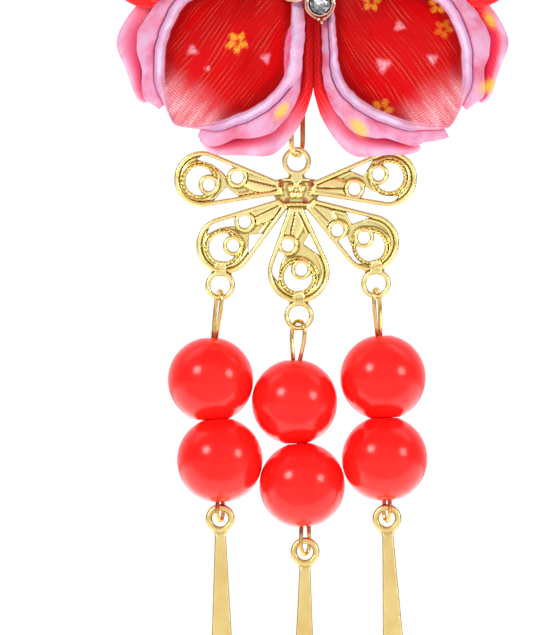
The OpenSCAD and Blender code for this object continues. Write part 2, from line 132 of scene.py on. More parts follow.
def smoothTable(xs, ys):  # a curve with no overshoot through a table, flat at both ends
    xs, ys = np.asarray(xs, float), np.asarray(ys, float)
    step, slope = np.diff(xs), np.diff(ys) / np.diff(xs)
    tangent = np.zeros(len(xs))
    bends = slope[:-1] * slope[1:] > 0
    safe = np.where(bends, slope[:-1] * slope[1:], 1)
    tangent[1:-1] = np.where(bends, 2 * safe / np.where(bends, slope[:-1] + slope[1:], 1), 0)

    def value(x):
        i = np.clip(np.searchsorted(xs, x) - 1, 0, len(xs) - 2)
        t = (np.clip(x, xs[0], xs[-1]) - xs[i]) / step[i]
        return ((1 + 2 * t) * (1 - t) ** 2 * ys[i] + t * (1 - t) ** 2 * step[i] * tangent[i]
                + t * t * (3 - 2 * t) * ys[i + 1] + t * t * (t - 1) * step[i] * tangent[i + 1])
    return value


def spline(points, counts):  # a curve through points, with so many steps in each span, and their places
    p = np.asarray(points, float)
    p = np.concatenate([2 * p[..., :1, :] - p[..., 1:2, :], p, 2 * p[..., -1:, :] - p[..., -2:-1, :]], -2)
    out, places = [], []
    for i, count in enumerate(counts):
        a, b, c, d = (p[..., i + k:i + k + 1, :] for k in range(4))
        t = (np.arange(count) / count)[:, None]
        square, cube = 2 * a - 5 * b + 4 * c - d, 3 * b - a - 3 * c + d
        out.append(0.5 * (2 * b + (c - a) * t + square * t ** 2 + cube * t ** 3))
        places.append(i + t[:, 0])
    out.append(p[..., -2:-1, :])
    places.append([len(counts)])
    return np.concatenate(out, -2), np.concatenate(places)


def curveThrough(points, perSpan):
    return spline(points, [perSpan] * (len(points) - 1))[0]


def tubeAlong(path, radius, sides, closed=False):  # points and faces of a round wire along a path
    path = np.asarray(path, float)
    count = len(path)
    radius = np.broadcast_to(radius, (count,))
    tangent = np.roll(path, -1, 0) - np.roll(path, 1, 0) if closed else np.gradient(path, axis=0)
    tangent /= np.linalg.norm(tangent, axis=1)[:, None]
    side = np.cross(tangent[0], [0.31, 0.9, 0.29])
    sideways = []
    for t in tangent:
        side = side - t * side.dot(t)
        side /= np.linalg.norm(side)
        sideways.append(side)
    sideways = np.array(sideways)
    across = np.cross(tangent, sideways)
    if closed:  # the frame's turn over one lap is shared out
        end = sideways[-1] - tangent[0] * sideways[-1].dot(tangent[0])
        lap = math.atan2(np.cross(end, sideways[0]).dot(tangent[0]), end.dot(sideways[0]))
        share = lap * np.arange(count) / count
        sideways = sideways * np.cos(share)[:, None] + across * np.sin(share)[:, None]
        across = np.cross(tangent, sideways)
    turn = np.arange(sides) * fullTurn / sides
    ring = sideways[:, None] * np.cos(turn)[None, :, None] + across[:, None] * np.sin(turn)[None, :, None]
    points = (path[:, None] + ring * radius[:, None, None]).reshape(-1, 3)
    faces = loopGrid(count, sides, closed, True)
    if not closed:
        faces.append(tuple(range(sides)))
        faces.append(tuple((count - 1) * sides + j for j in reversed(range(sides))))
    return points, faces


def turnedSolid(profile, sides):  # points and faces turned about Z, from (radius, height) rows
    rings = [r > 1e-9 for r, h in profile]
    points, starts, faces = [], [], []
    for (r, h), ring in zip(profile, rings):
        starts.append(len(points))
        turns = np.arange(sides) * fullTurn / sides
        points += [(r * math.cos(a), r * math.sin(a), h) for a in turns] if ring else [(0, 0, h)]
    for i in range(len(profile) - 1):
        a, b = starts[i], starts[i + 1]
        for j in range(sides):
            k = (j + 1) % sides
            if rings[i] and rings[i + 1]:
                faces.append((a + j, a + k, b + k, b + j))
            elif rings[i]:
                faces.append((a + j, a + k, b))
            elif rings[i + 1]:
                faces.append((a, b + k, b + j))
    return np.array(points, float), faces


def moved(points, matrix):
    m = np.array(matrix)
    return np.asarray(points) @ m[:3, :3].T + m[:3, 3]


def joined(parts):  # one mesh out of several solids, each with its place
    points, faces, start = [], [], 0
    for (solidPoints, solidFaces), place in parts:
        points.append(moved(solidPoints, place))
        faces += [tuple(start + i for i in face) for face in solidFaces]
        start += len(solidPoints)
    return np.concatenate(points), faces


def spin(axis, degrees):
    return Matrix.Rotation(math.radians(degrees), 4, axis)


def shift(x, y, z):
    return Matrix.Translation((x, y, z))


# Camera, studio and lights

studio = {
    "viewCentre": (-3.93, -3.0, -45.3), "viewHeight": 75.6, "lens": 500, "sensor": 36,
    "floor": -111.0, "floorFront": -3000, "floorBack": 650, "halfWidth": 3000, "paper": "#F4F3F2",
    # each light: its place, its size, what it faces, and how bright its face is
    "lights": {
        "lampLeft": ((-470, -560, 300), (250, 250), (-3.93, -3.0, -45.3), 16),
        "lampRight": ((560, -420, 150), (230, 230), (-3.93, -3.0, -45.3), 11.5),
        "cardBelow": ((0, 60, -109), (520, 190), (0, 60, 100), 1.6),
        "cardAbove": ((0, 60, 420), (1400, 300), (0, 420, -20), 1.4),
    },
    # a white tent: bright straight in front and behind, dimmer at the sides, so that metal edges stay drawn.
    # Columns: where along Y the brightness starts and ends, and its two ends
    "tent": [(-0.45, -0.93, 0.36, 0.84), (0.1, 0.7, 0.0, 0.74)],
}


def makeStudio():
    away = studio["viewHeight"] * mm * studio["lens"] / studio["sensor"]
    camera = bpy.data.cameras.new("camera")
    camera.lens, camera.sensor_width, camera.sensor_fit = studio["lens"], studio["sensor"], "AUTO"
    camera.clip_start, camera.clip_end = 0.05, 20
    seat = addObject("camera", camera)
    seat.location = Vector(studio["viewCentre"]) * mm + Vector((0, -away, 0))
    seat.rotation_euler = (math.pi / 2, 0, 0)
    bpy.context.scene.camera = seat

    # uncoated photo paper: no shine, and only a faint unevenness, some 0.1 m wide
    paper, add = newMaterial("matte_photo_paper")
    grain = add("TexNoise", Scale=60.0, Detail=3.0)
    bump = add("Bump", Strength=0.05, Distance=0.0005, Height=grain)
    shader = add("BsdfPrincipled", **{"Base Color": studio["paper"], "Roughness": 0.9, "Normal": bump})
    add("OutputMaterial", shader)
    points = [(x, y, studio["floor"]) for y in (studio["floorFront"], studio["floorBack"])
              for x in (-studio["halfWidth"], studio["halfWidth"])]
    addMesh("paperFloor", points, [(0, 1, 3, 2)], [paper], 40)

    for name, (place, size, target, glow) in studio["lights"].items():
        lamp = bpy.data.lights.new(name, "AREA")
        lamp.shape = "ELLIPSE" if "lamp" in name else "RECTANGLE"
        lamp.size, lamp.size_y = size[0] * mm, size[1] * mm
        lamp.energy = glow * math.pi * lamp.size * lamp.size_y
        holder = addObject(name, lamp)
        holder.location = Vector(place) * mm
        holder.rotation_euler = (Vector(target) * mm - holder.location).to_track_quat("-Z", "Y").to_euler()
        holder.visible_camera = False

    world = bpy.data.worlds.new("studioTent")
    bpy.context.scene.world = world
    world.use_nodes = True
    world.node_tree.nodes.clear()
    add = partial(addNode, world.node_tree)
    ray = add("SeparateXYZ", add("TexCoord").outputs["Generated"])
    front, behind = (add("MapRange SMOOTHSTEP", ray.outputs[1], *row) for row in studio["tent"])
    glow = add("Background", Color="#FBFBFF", Strength=add("Math ADD", front, behind))
    add("OutputWorld", glow)
    bpy.context.scene.view_settings.view_transform = "Standard"


makeStudio()
print("studio ready")


# Petals: each is a cup, a collar folded round it and a wing folded round that

petal = {
    "floorAlong": 14, "depth": 9.3, "cloth": 0.95, "gap": 0.25, "back": -4.4,
    "angle": {"lower_left": -126, "lower_right": -54, "right": 18, "top": 90, "left": 162},
    "rise": {"lower_left": 1, "lower_right": 0.98, "right": 1.02, "top": 1, "left": 1.03},
    "cupPlan": [(6.2, 0), (6.6, 1.4), (8, 2.9), (10.5, 4.5), (14.5, 6.9), (17, 7.4),
                (20.4, 6.7), (23, 5.2), (24.8, 3.9), (26.4, 2.2), (27.4, 0.9), (27.8, 0)],
    "wingPlan": [(2.7, 0), (3.2, 2.3), (6, 4.4), (9, 6.58), (12, 8.78), (14.6, 10.68), (16.2, 11.35),
                 (18, 11.9), (20.5, 12.1), (23, 11.8), (24.5, 10.9), (26.2, 8.2), (28, 5.4), (27.6, 3.4),
                 (27.6, 0)],
    # the rim by the angle from the tip: its height as a share of the depth, and how steep the wall is
    "rim": [(0, 0.72, 1.6), (15, 0.76, 1.8), (30, 0.83, 2.3), (50, 0.93, 3.2), (70, 1, 3.8), (100, 1, 3.8),
            (130, 0.86, 3), (150, 0.72, 2.6), (180, 0.58, 2.2)],
    # height of a layer's floor, above and below
    "floors": {"cup": (3.8, 2.8), "collar": (2.5, 1.5), "wing": (1.2, 0.2)},
    "cupRays": 250, "foldRays": 150, "pleatPitch": 1.7, "pleatHeight": 0.035,
    # how far along a layer's section the print goes: the right side of the ribbon only
    "printEnd": {"cup": 38.5, "collar": 16, "wing": 16},
    # where the open ends of the outer layers stop, in degrees from the tip, upper side and lower side
    "ends": {"collar": {"lower_left": (12.5, 11), "lower_right": (10.6, 4)},
             "wing": {"lower_left": (14, 18), "lower_right": (18, 18)}},
}


def edgeCurve(plan):  # distance from the floor point by the angle, smoothed through the plan
    half = np.array(plan, float)
    dense = curveThrough(np.concatenate([half, half[-2:0:-1] * [1, -1], half[:1]]), 16)
    x, y = dense[:, 0] - petal["floorAlong"], dense[:, 1]
    upper = (y >= -1e-6)
    turn, reach = np.degrees(np.arctan2(y, x))[upper], np.hypot(x, y)[upper]
    order = np.argsort(turn)
    return lambda t: np.interp(t, turn[order], reach[order])


cupEdge, wingEdge = edgeCurve(petal["cupPlan"]), edgeCurve(petal["wingPlan"])
rimTurns, rimHeights, rimSlopes = zip(*petal["rim"])
rimHeight, rimSteepness = smoothTable(rimTurns, rimHeights), smoothTable(rimTurns, rimSlopes)


def wander(seed, harmonics, turns):  # a smooth closed wobble along angles in degrees, within about 1
    draw = np.random.default_rng(seed)
    size, phase = draw.uniform(0.4, 1, len(harmonics)), draw.uniform(0, fullTurn, len(harmonics))
    size /= size.sum() * 0.6
    return sum(s * np.sin(np.radians(turns) * k + f) for s, f, k in zip(size, phase, harmonics))


class Fold:  # what the three layers of one petal share, at each ray
    def __init__(self, name, turns):
        half = np.where(turns > 180, 360 - turns, turns)
        seed = 11 + 7 * list(petal["angle"]).index(name)
        self.half = half
        self.edgeWave = wander(seed, [4, 7, 9, 13], turns)
        self.fineWave = wander(seed + 1, [19, 27, 41], turns)
        self.slowWave = wander(seed + 2, [2, 3, 5], turns)
        ease = smoothStep(half, 8, 40)
        self.cup = cupEdge(half) + ease * (0.07 * self.edgeWave + 0.035 * self.fineWave)
        # an upper petal's wing spreads over its lower neighbour
        lower = {"left": turns, "right": 360 - turns}.get(name, 0 * turns)
        self.spread = smoothStep(lower, 48, 84) * (1 - smoothStep(lower, 92, 118))
        self.wing = wingEdge(half) + ease * 0.1 * self.slowWave * (half < 110) + 3.2 * self.spread
        wobble = ease * (0.08 * self.slowWave + 0.05 * self.edgeWave)
        self.height = petal["depth"] * petal["rise"][name] * rimHeight(half) + wobble
        self.steep = rimSteepness(half)
        self.low = self.height / petal["depth"]
        # the rim is broad where the lining turns out beside the middle
        self.broad = smoothStep(turns, 70, 92) * (1 - smoothStep(turns, 140, 164)) * (name == "lower_left")
        self.turned = self.broad * (1 - smoothStep(turns, 116, 138))
        # one collar's end sticks out past the tip
        self.poke = smoothStep(turns, 341, 355) * (name == "lower_right")
        self.crowd = np.minimum(1, (wingEdge(half) - cupEdge(half)) / 4 + 0.2 * self.poke)
        self.sag = 0.7 * (1 - self.crowd)

    def climb(self, steps, reach, floor, edge):  # (distance, height) up a wall, from the floor to its edge
        t = np.asarray(steps, float)[None, :]
        rise = floor + (edge[:, None] - floor) * t ** self.steep[:, None]
        return np.stack([reach[:, None] * t, rise], -1)


def layerCurve(inner, pairs, outer, floor, counts):
    # one closed section: up the inner face, over the edge by (distance, height) pairs, and back to the floor
    pairs = np.stack([np.stack(pair, -1) for pair in pairs], 1)
    foot = np.full((len(inner), 1, 2), (0.0, floor))
    return spline(np.concatenate([inner, pairs] + outer + [foot], 1), counts)


def cupSection(f):
    top, reach, wall, floors = f.height, f.cup, petal["cloth"] * f.crowd, petal["floors"]["cup"]
    inner = f.climb(1 - (1 - np.linspace(0, 1, 40)) ** 1.45, reach, floors[0], top - 0.4 * f.low)
    # the rim leans out over the edge of the collar
    lip = [(reach + 0.16 * wall, top - 0.1 * f.low), (reach + 0.45 * wall + 0.3 * f.broad, top + 0.02),
           (reach + 0.85 * wall + 0.65 * f.broad, top - 0.04 - 0.3 * f.sag),
           (reach + 1.15 * wall + 0.8 * f.broad, top - 0.26 * f.low - f.sag)]
    outer = f.climb([0.93, 0.8, 0.62, 0.35], reach + wall, floors[1], top - 0.45 * f.low - f.sag)
    return layerCurve(inner, lip, [outer], floors[1], [1] * 39 + [4] * 3 + [3] * 6)


foldSteps = np.linspace(0, 1, 12) ** 0.7


def collarSection(f):
    top, low, floors = f.height - f.sag - 0.5 * f.broad, f.low, petal["floors"]["collar"]
    inset = f.cup + (petal["cloth"] + petal["gap"]) * f.crowd
    outset = inset + petal["cloth"] * f.crowd
    share = 0.6 + 0.3 * (1 - smoothStep(f.half, 12, 34)) - 0.13 * f.broad
    lip = f.cup + share * (wingEdge(f.half) - f.cup) + 0.05 * f.crowd * f.fineWave + 1.2 * f.poke
    inner = f.climb(foldSteps, inset, floors[0], top - 0.35 * low)
    face = [(inset + 0.38 * (lip - inset), top - 0.42 * low), (lip - 0.12 * f.crowd, top - 1.3 * low),
            (lip, top - 1.8 * low), (lip - 0.1 * f.crowd, top - 2.45 * low), (outset, top - 2.95 * low)]
    outer = f.climb([0.9, 0.72, 0.45], outset, floors[1], top - 3.1 * low)
    return layerCurve(inner, face, [outer], floors[1], [1] * 11 + [6] * 2 + [4] * 3 + [3] * 4)


def wingSection(f):
    edge, top, low, floors = f.wing, f.height - 1.8 * f.sag, f.low, petal["floors"]["wing"]
    inset = f.cup + 2 * (petal["cloth"] + petal["gap"]) * f.crowd
    inner = f.climb(foldSteps, inset, floors[0], top - 3.5 * low)
    rim = [(edge - back * f.crowd, (share + 0.24 * f.spread) * f.height - f.sag)
           for back, share in ((0.12, 0.56), (0, 0.5), (0.14, 0.36))]
    under = (edge - (0.8 + 2.6 * f.spread) * f.crowd, (0.25 + 0.1 * f.spread) * f.height - 0.4 * f.sag)
    face = [(inset + 0.35 * (edge - inset), top - 3.1 * low), (inset + 0.78 * (edge - inset), top - 3.6 * low),
            *rim, under, (0.8 * edge, 1.15 * low), (0.5 * edge, 0.45 * low)]
    return layerCurve(inner, face, [], floors[1], [1] * 11 + [5, 6, 6, 4, 4, 5, 4, 4, 4])


def flowerPlace(turn, reach=0, forward=0):  # along a turn about the flower's axis, and out of its face
    return shift(0, petal["back"], 0) @ spin("Y", -turn) @ spin("X", 90) @ shift(reach, 0, forward)


# Marks of the print, by their places seen from the front: x, z, size, and how strong the gold ones are
# or how the yellow ones lie, in degrees
printMarks = {
    "gold": [(-9.0, -12.7, 1.35, 1), (8.15, -20.7, 1.35, 0.55), (15.4, -11.2, 1.15, 0.38),
             (6.9, -7.9, 1.2, 0.85), (14.7, -8.4, 1.1, 0.7), (-14.5, 9.5, 1.3, 1), (-21.5, 4.5, 1.2, 0.8),
             (15.5, 6.0, 1.3, 0.9), (21.5, 9.5, 1.1, 0.8), (-2.2, 17.5, 1.3, 1), (3.6, 22.5, 1.15, 0.7)],
    "pale": [(-14.3, -13.7, 0.62), (-5.6, -14.6, 0.6), (-12.5, -15.8, 0.3), (10.2, -10.8, 0.62),
             (8.3, -15.4, 0.85), (14.1, -14.7, 0.6), (-12.0, 5.5, 0.6), (-18.2, 10.2, 0.7), (12.0, 3.6, 0.6),
             (18.7, 5.0, 0.7), (1.8, 13.2, 0.6), (-3.6, 22.2, 0.7)],
    "yellow": [(-3.7, -20.9, 1.35, 50), (-2.9, -16.2, 0.8, 80), (5.4, -22.9, 1.6, -48),
               (20.9, -10.1, 1.2, -60), (20.8, -17.9, 1.55, 22), (-25.0, 2.5, 1.3, 70),
               (-18.5, 17.0, 1.4, 40), (24.5, 3.0, 1.1, -70), (15.5, 17.2, 1.4, -45),
               (-8.6, 22.5, 1.3, 60), (9.3, 21.0, 1.1, -60)],
}


def stampMark(kind, dx, dz, x, z, size, more=0):
    reach, turn = np.hypot(dx, dz), np.arctan2(dz, dx)
    if kind == "gold":  # a blossom of five round petals round a bare centre
        edge = 0.42 + 0.6 * np.abs(np.cos(2.5 * (turn - (x * 7 + z))))
        return more * (smoothStep(edge - reach / size, -0.06, 0.16) * smoothStep(reach / size, 0.16, 0.34))
    if kind == "pale":
        return 1 - smoothStep(reach * (1 + 0.25 * np.cos(3 * turn + x)), 0.3 * size, 1.15 * size)
    c, s = math.cos(math.radians(more)), math.sin(math.radians(more))
    return 1 - smoothStep(np.hypot(c * dx + s * dz, 1.9 * (c * dz - s * dx)), 0.35 * size, 1.2 * size)


def addPrint(piece, points, front):
    for kind, marks in printMarks.items():
        drawn = np.zeros(len(points))
        for mark in marks:
            dx, dz = points[:, 0] - mark[0], points[:, 2] - mark[1]
            drawn = np.maximum(drawn, stampMark(kind, dx, dz, *mark))
        addValues(piece, **{kind + "Print": drawn * front})


satin = {
    # the deep red paints the shade in the cup's hollow and between the lit rows; the lit red paints the sheen
    # on lit dashes
    "red": "#D00007", "deepRed": "#980003", "litRed": "#F05444", "tipWhite": "#FFE0E6", "tipRib": "#D83C50",
    # the grey-purple is painted shade along the rim's creases
    "rim": "#DCC4DE", "rimPink": "#E8A0BE", "rimShade": "#CA92B2", "lining": "#E8487C", "seam": "#A488B4",
    # the red of the folds is brighter than the cup's, so as to paint light into their shaded middle; the lit
    # red is a painted sheen on it, and the deep pink-red is painted shade in the creases
    "openRed": "#FF1C26", "openLit": "#FF7868", "crease": "#DC1C50",
    # the pink, its cooler and its deeper patches
    "collar": ("#DA869F", "#D4A8C8", "#C84C72"), "wing": ("#DEAEC6", "#DAB6D6", "#D2708E"),
    "gold": "#F6B036", "palePink": "#F2A6B6", "yellow": "#F8BE3A",
    # ribs and rows of the weave are drawn somewhat coarser than in such ribbon
    "ribPitch": 0.3, "rowPitch": 0.56,
    "cupMarks": ["hollow", "lit", "tip", "rim", "rimCore", "lining", "seam", "goldPrint", "palePrint"],
    "foldMarks": ["blush", "crease", "yellowPrint"],
    # what is made of the noises: the noise, the span of it that counts, and the two values that it gives
    "cupSpans": {"worn": ("patch", 0.34, 0.64, 0.3, 1.35), "thread": ("fuzz", 0.34, 0.56, 0.25, 1.0),
                 "ragged": ("patch", 0.36, 0.58, 0.25, 1.2), "smudge": ("bloom", 0.4, 0.65, 0.0, 0.6),
                 "flush": ("patch", 0.4, 0.6, 0.15, 1.0)},
    "foldSpans": {"fade": ("patch", 0.28, 0.6), "thread": ("fuzz", 0.3, 0.55, 0.35, 1.0)},
}


def makeSatin(name, layer):
    # printed polyester satin ribbon, woven with a crosswise rib: rows of short dashes with a soft shine.
    # The weave's places are in millimetres, so a noise of scale 0.5 has patches 2 mm wide
    material, add = newMaterial(name)
    isCup = layer == "cup"
    use = "cup" if isCup else "fold"
    marks = {mark: add("Attribute " + mark).outputs["Fac"] for mark in satin[use + "Marks"]}
    cloth = add("Attribute weave").outputs["Vector"]
    axes = add("SeparateXYZ", cloth)
    longer = add("Mapping", cloth, Scale=(0.3, 1.0, 1.0))
    noise = {
        "drift": add("TexNoise", cloth, Scale=0.12, Detail=1.0),
        "patch": add("TexNoise", longer, Scale=0.55, Detail=3.0),
        "bloom": add("TexNoise", cloth, Scale=0.36, Detail=2.0),
        "fuzz": add("TexNoise", cloth, Scale=3.2, Detail=4.0, Roughness=0.65)}
    spans = {"speckle": ("fuzz", 0.38, 0.62), "bend": ("bloom", 0.35, 0.65, 0.03, 0.2), **satin[use + "Spans"]}
    part = {key: add("MapRange", noise[source], *row) for key, (source, *row) in spans.items()}
    # dashes lean one way and then the other from row to row, like the herringbone of a pleated weave
    bent = add("Math MULTIPLY_ADD", noise["drift"], 1.3, axes.outputs[1])
    folded = add("Math PINGPONG", bent, satin["rowPitch"] / 2)
    acrossRow = add("Math MULTIPLY", folded, 2 / satin["rowPitch"])
    rows = add("MapRange SMOOTHSTEP", acrossRow, 0.25, 0.9)
    lean = add("Math MULTIPLY_ADD", acrossRow, part["bend"], axes.outputs[0])
    lean = add("Math MULTIPLY_ADD", noise["patch"], 0.9, lean)
    turns = add("Math MULTIPLY", lean, fullTurn / satin["ribPitch"])
    ribs = add("MapRange", add("Math SINE", turns), -0.7, 1.0)
    dashes = add("Math MULTIPLY", ribs, rows)
    if isCup:
        # painted sheen: where the patches catch the light, the dashes turn lighter red and the gaps between
        # rows deeper red
        glint = add("MapRange SMOOTHSTEP", noise["patch"], 0.44, 0.66, 0.06, 0.95)
        light = add("Math MULTIPLY", glint, marks["lit"])
        between = add("MapRange", rows, 0.0, 1.0, 0.55, 0.0)
        # the print runs out towards the tip, where the white ground of the ribbon shows
        tip = add("Math MULTIPLY", part["worn"], marks["tip"], use_clamp=True)
        bright = 0.16
        for source, strength in ((dashes, 0.3), (ribs, 0.3), (part["speckle"], 0.22)):
            bright = add("Math MULTIPLY_ADD", source, strength, bright)
        core = add("Math MULTIPLY", part["ragged"], marks["rimCore"], use_clamp=True)
        dull, streak, pale, gold, petals, lining = (add("Math MULTIPLY", a, b) for a, b in (
            (between, light), (dashes, light), (bright, tip), (part["thread"], marks["goldPrint"]),
            (part["thread"], marks["palePrint"]), (part["flush"], marks["lining"])))
        rim = satin["rimPink"]
        for share, tone in ((core, "rim"), (part["smudge"], "rimShade"), (lining, "lining")):
            rim = add("Mix RGBA", share, rim, satin[tone])
        colour = satin["red"]
        layers = [(marks["hollow"], satin["deepRed"]), (dull, satin["deepRed"]), (streak, satin["litRed"]),
                  (tip, satin["tipRib"]), (pale, satin["tipWhite"]), (gold, satin["gold"]),
                  (petals, satin["palePink"]), (marks["rim"], rim), (marks["seam"], satin["seam"])]
    else:
        pink, coolPink, colour = satin[layer]
        cool = add("MapRange SMOOTHSTEP", noise["bloom"], 0.32, 0.72)
        line = add("MapRange", ribs, 0.0, 1.0, 0.26, 0.0)
        # painted light: where the folds are red they are brighter than the cup, to lift the shade in the deep
        # folds by the middle, and their dashes get a painted sheen
        lit = add("MapRange", dashes, 0.0, 1.0, 0.0, 0.5)
        red = add("Mix RGBA", lit, satin["openRed"], satin["openLit"])
        yellow = add("Math MULTIPLY", part["thread"], marks["yellowPrint"])
        layers = [(part["fade"], pink), (cool, coolPink), (line, colour), (marks["blush"], red),
                  (marks["crease"], satin["crease"]), (yellow, satin["yellow"])]
    for share, tone in layers:
        colour = add("Mix RGBA", share, colour, tone)
    threads = add("Math MULTIPLY_ADD", part["speckle"], 0.25, dashes)
    bump = add("Bump", Strength=0.7 if isCup else 0.45, Distance=0.00006, Height=threads)
    shader = add("BsdfPrincipled", **{
        "Base Color": colour, "Roughness": 0.5, "Specular IOR Level": 0.08 if isCup else 0.16, "Normal": bump,
        "Sheen Weight": 0.04 if isCup else 0.1, "Sheen Roughness": 0.4,
        "Sheen Tint": "#FF9098" if isCup else "#FFD0E0"})
    add("OutputMaterial", shader)
    return material


layerLooks = {
    "cup": (cupSection, makeSatin("printed_red_polyester_satin", "cup")),
    "collar": (collarSection, makeSatin("pink_polyester_satin", "collar")),
    "wing": (wingSection, makeSatin("pale_pink_polyester_satin", "wing")),
}


def sweptPoints(section, turns):  # sections turned about the floor point, with the unrolled cloth
    r, h = section[..., 0], section[..., 1]
    c, s = np.cos(np.radians(turns))[:, None], np.sin(np.radians(turns))[:, None]
    runs = np.hypot(np.diff(r, axis=1), np.diff(h, axis=1))
    length = np.concatenate([np.zeros((len(r), 1)), np.cumsum(runs, 1)], 1)
    return [np.stack([petal["floorAlong"] + reach * c, reach * s, z], -1)
            for reach, z in ((r, h), (length, 0 * r))]


def paintCup(piece, fold, flat, q):  # q is the place along the section: 39 is the top of the inner face
    half, turned, broad, drift, slow = (np.repeat(part, len(flat) // len(fold.half)) for part in (
        fold.half, fold.turned, fold.broad, fold.edgeWave, fold.slowWave))
    along, aside = flat[:, 0], np.abs(flat[:, 1])
    atTip = 1 - smoothStep(half, 8, 26)
    # painted shade: deeper red in the cup's hollow, up its walls and towards its base
    shaded = 0.95 * smoothStep(q, 22, 35) * (1 - atTip) + 0.3 * (1 - smoothStep(along, 8, 13))
    # the rim band is broad on the side where the lining turns out
    start = 35.6 - 6.2 * turned
    # the rim's lilac middle: the edge's own colour, and also a painted highlight along the top of the roll
    core = smoothStep(q, 38, 39.8) * (1 - smoothStep(q + 0.3 * broad, 40.8, 42.4))
    # painted shade of the folded edge: one grey line in the crease outside the rim and a fainter, wandering
    # one along it
    line = 0.6 * (1 - 0.8 * broad) * smoothStep(q, 41.3, 42.3) * (1 - smoothStep(q, 43.6, 44.6))
    streak = np.exp(-((q - 39.6 - 0.7 * drift) / 0.4) ** 2) * (0.32 + 0.3 * broad + 0.16 * slow)
    addValues(
        piece, hollow=np.clip(0.05 + shaded, 0, 1),
        tip=smoothStep(along - 0.12 * aside, 21, 27.4) * (1 - smoothStep(aside, 3.2, 7)),
        # where the painted sheen shows: away from the base and off the shaded walls
        lit=smoothStep(along, 6, 12) * (1 - 0.85 * smoothStep(q, 26, 34) * (1 - atTip)),
        rim=smoothStep(q, start, start + 1.4) * (1 - smoothStep(q, 44, 45)) * (1 - 0.55 * atTip),
        rimCore=core * (1 - 0.6 * atTip), lining=turned * (1 - smoothStep(q, 36.5, 39)),
        seam=np.maximum(line, streak) * (1 - atTip))


def paintFold(piece, name, layer, flat, q):  # q 11 is the top of the inner face
    along, side = flat[:, 0], flat[:, 1]
    if layer == "collar":
        blush = 0.6 * (1 - smoothStep(along, 7, 11))
        # painted shade: deeper pink-red at the top of the inner face, under the cup's rim, and under the fold
        # of the lip
        crease = 0.3 * (1 - smoothStep(q, 11, 11.6)) + 0.9 * smoothStep(q, 13.8, 15)
    else:
        toPink = 1 - smoothStep(along + 0.8 * np.sin(np.abs(side)), 15.5, 21.5)
        parted = 0.5 * (side < -2) * (name == "lower_left")  # the red shows wider where the layers part
        reddened = {"left": side > 0, "right": side < 0}.get(name, 0 * along)
        spread = reddened * (1 - smoothStep(along, 20, 25)) * smoothStep(q, 11.5, 13)
        strip = (side > 0) * (name == "lower_right") * (1 - smoothStep(q, 12.4, 13.3))
        blush = np.maximum(np.maximum(toPink, spread), strip)
        # painted shade: deeper pink-red where the wing tucks in under the collar, and under the wing's edge
        crease = 0.85 * (1 - smoothStep(q, 12.1, 13.1 + parted)) * (1 - toPink)
        crease = crease + 0.55 * smoothStep(q, 16.5, 18)
    addValues(piece, blush=blush, crease=np.clip(crease, 0, 1))


def makeLayer(name, layer):
    makeSection, material = layerLooks[layer]
    isCup = layer == "cup"
    if isCup:
        turns = np.arange(petal["cupRays"]) * 360 / petal["cupRays"]
    else:
        ends = petal["ends"][layer].get(name, (14, 14))
        turns = np.linspace(ends[0], 360 - ends[1], petal["foldRays"])
    fold = Fold(name, turns)
    section, place = makeSection(fold)
    points, weave = sweptPoints(section, turns)
    rays, steps = points.shape[:2]
    faces = [f[::-1] for f in loopGrid(rays, steps, isCup, False)]
    if isCup:  # the pleats of the floor stand a little proud, along the petal
        pleat = np.sin(weave[..., 1] * fullTurn / petal["pleatPitch"] + 0.6 * np.sin(weave[..., 0] * 0.5))
        fade = smoothStep(weave[..., 0], 4, 12) * smoothStep(place, 3, 10) * (1 - smoothStep(place, 33, 38))
        points[..., 2] += petal["pleatHeight"] * pleat * fade
    else:  # blunt cut ends
        last = (rays - 1) * steps
        for a in range(steps // 2):
            b = steps - 1 - a
            if b - a > 1:
                faces.append((b, b - 1, a + 1, a))
                faces.append((last + a, last + a + 1, last + b - 1, last + b))
    flat = points.reshape(-1, 3)
    world = moved(flat, flowerPlace(petal["angle"][name]))
    meshName = "petal%s_%s" % (layer.capitalize(), name)
    piece = addMesh(meshName, world, faces, [material], 180 if isCup else 60)
    q = np.tile(place, rays)
    addValues(piece, weave=weave.reshape(-1, 3))
    if isCup:
        paintCup(piece, fold, flat, q)
    else:
        paintFold(piece, name, layer, flat, q)
    addPrint(piece, world, (q < petal["printEnd"][layer]).astype(float))
    dress(piece, "flower", layer + "_" + name)


for petalName in petal["angle"]:
    for layerName in layerLooks:
        makeLayer(petalName, layerName)
print("petals folded")


# Gilt metals

def makeGilt(name, colours, roughness, scratchPitch):
    # electroplated gold on brass: a bright mirror with cloudy patches 4 mm wide, with painted shade in its
    # grooves and along its edges, and a painted red reflection where it lies close to red
    material, add = newMaterial(name)
    place = add("TexCoord").outputs["Object"]
    broad = add("TexNoise", place, Scale=0.26 / mm, Detail=3.0)
    fine = add("TexNoise", place, Scale=1 / (scratchPitch * mm), Detail=2.0)
    colour = add("ValToRGB", broad, stops=[(0.3, colours[1]), (0.7, colours[0])])
    # painted shade in the dark tone, and a painted red reflection, by the marks that each piece carries
    for mark, tone in (("groove", colours[2]), ("redness", "#B2241A")):
        colour = add("Mix RGBA", add("Attribute " + mark).outputs["Fac"], colour, tone)
    rough = add("MapRange", fine, 0.25, 0.75, roughness * 0.75, roughness * 1.3)
    bump = add("Bump", Strength=0.12, Distance=0.00001, Height=fine)
    shader = add("BsdfPrincipled", **{
        "Metallic": 1.0, "Base Color": colour, "Roughness": rough, "Normal": bump})
    add("OutputMaterial", shader)
    return material


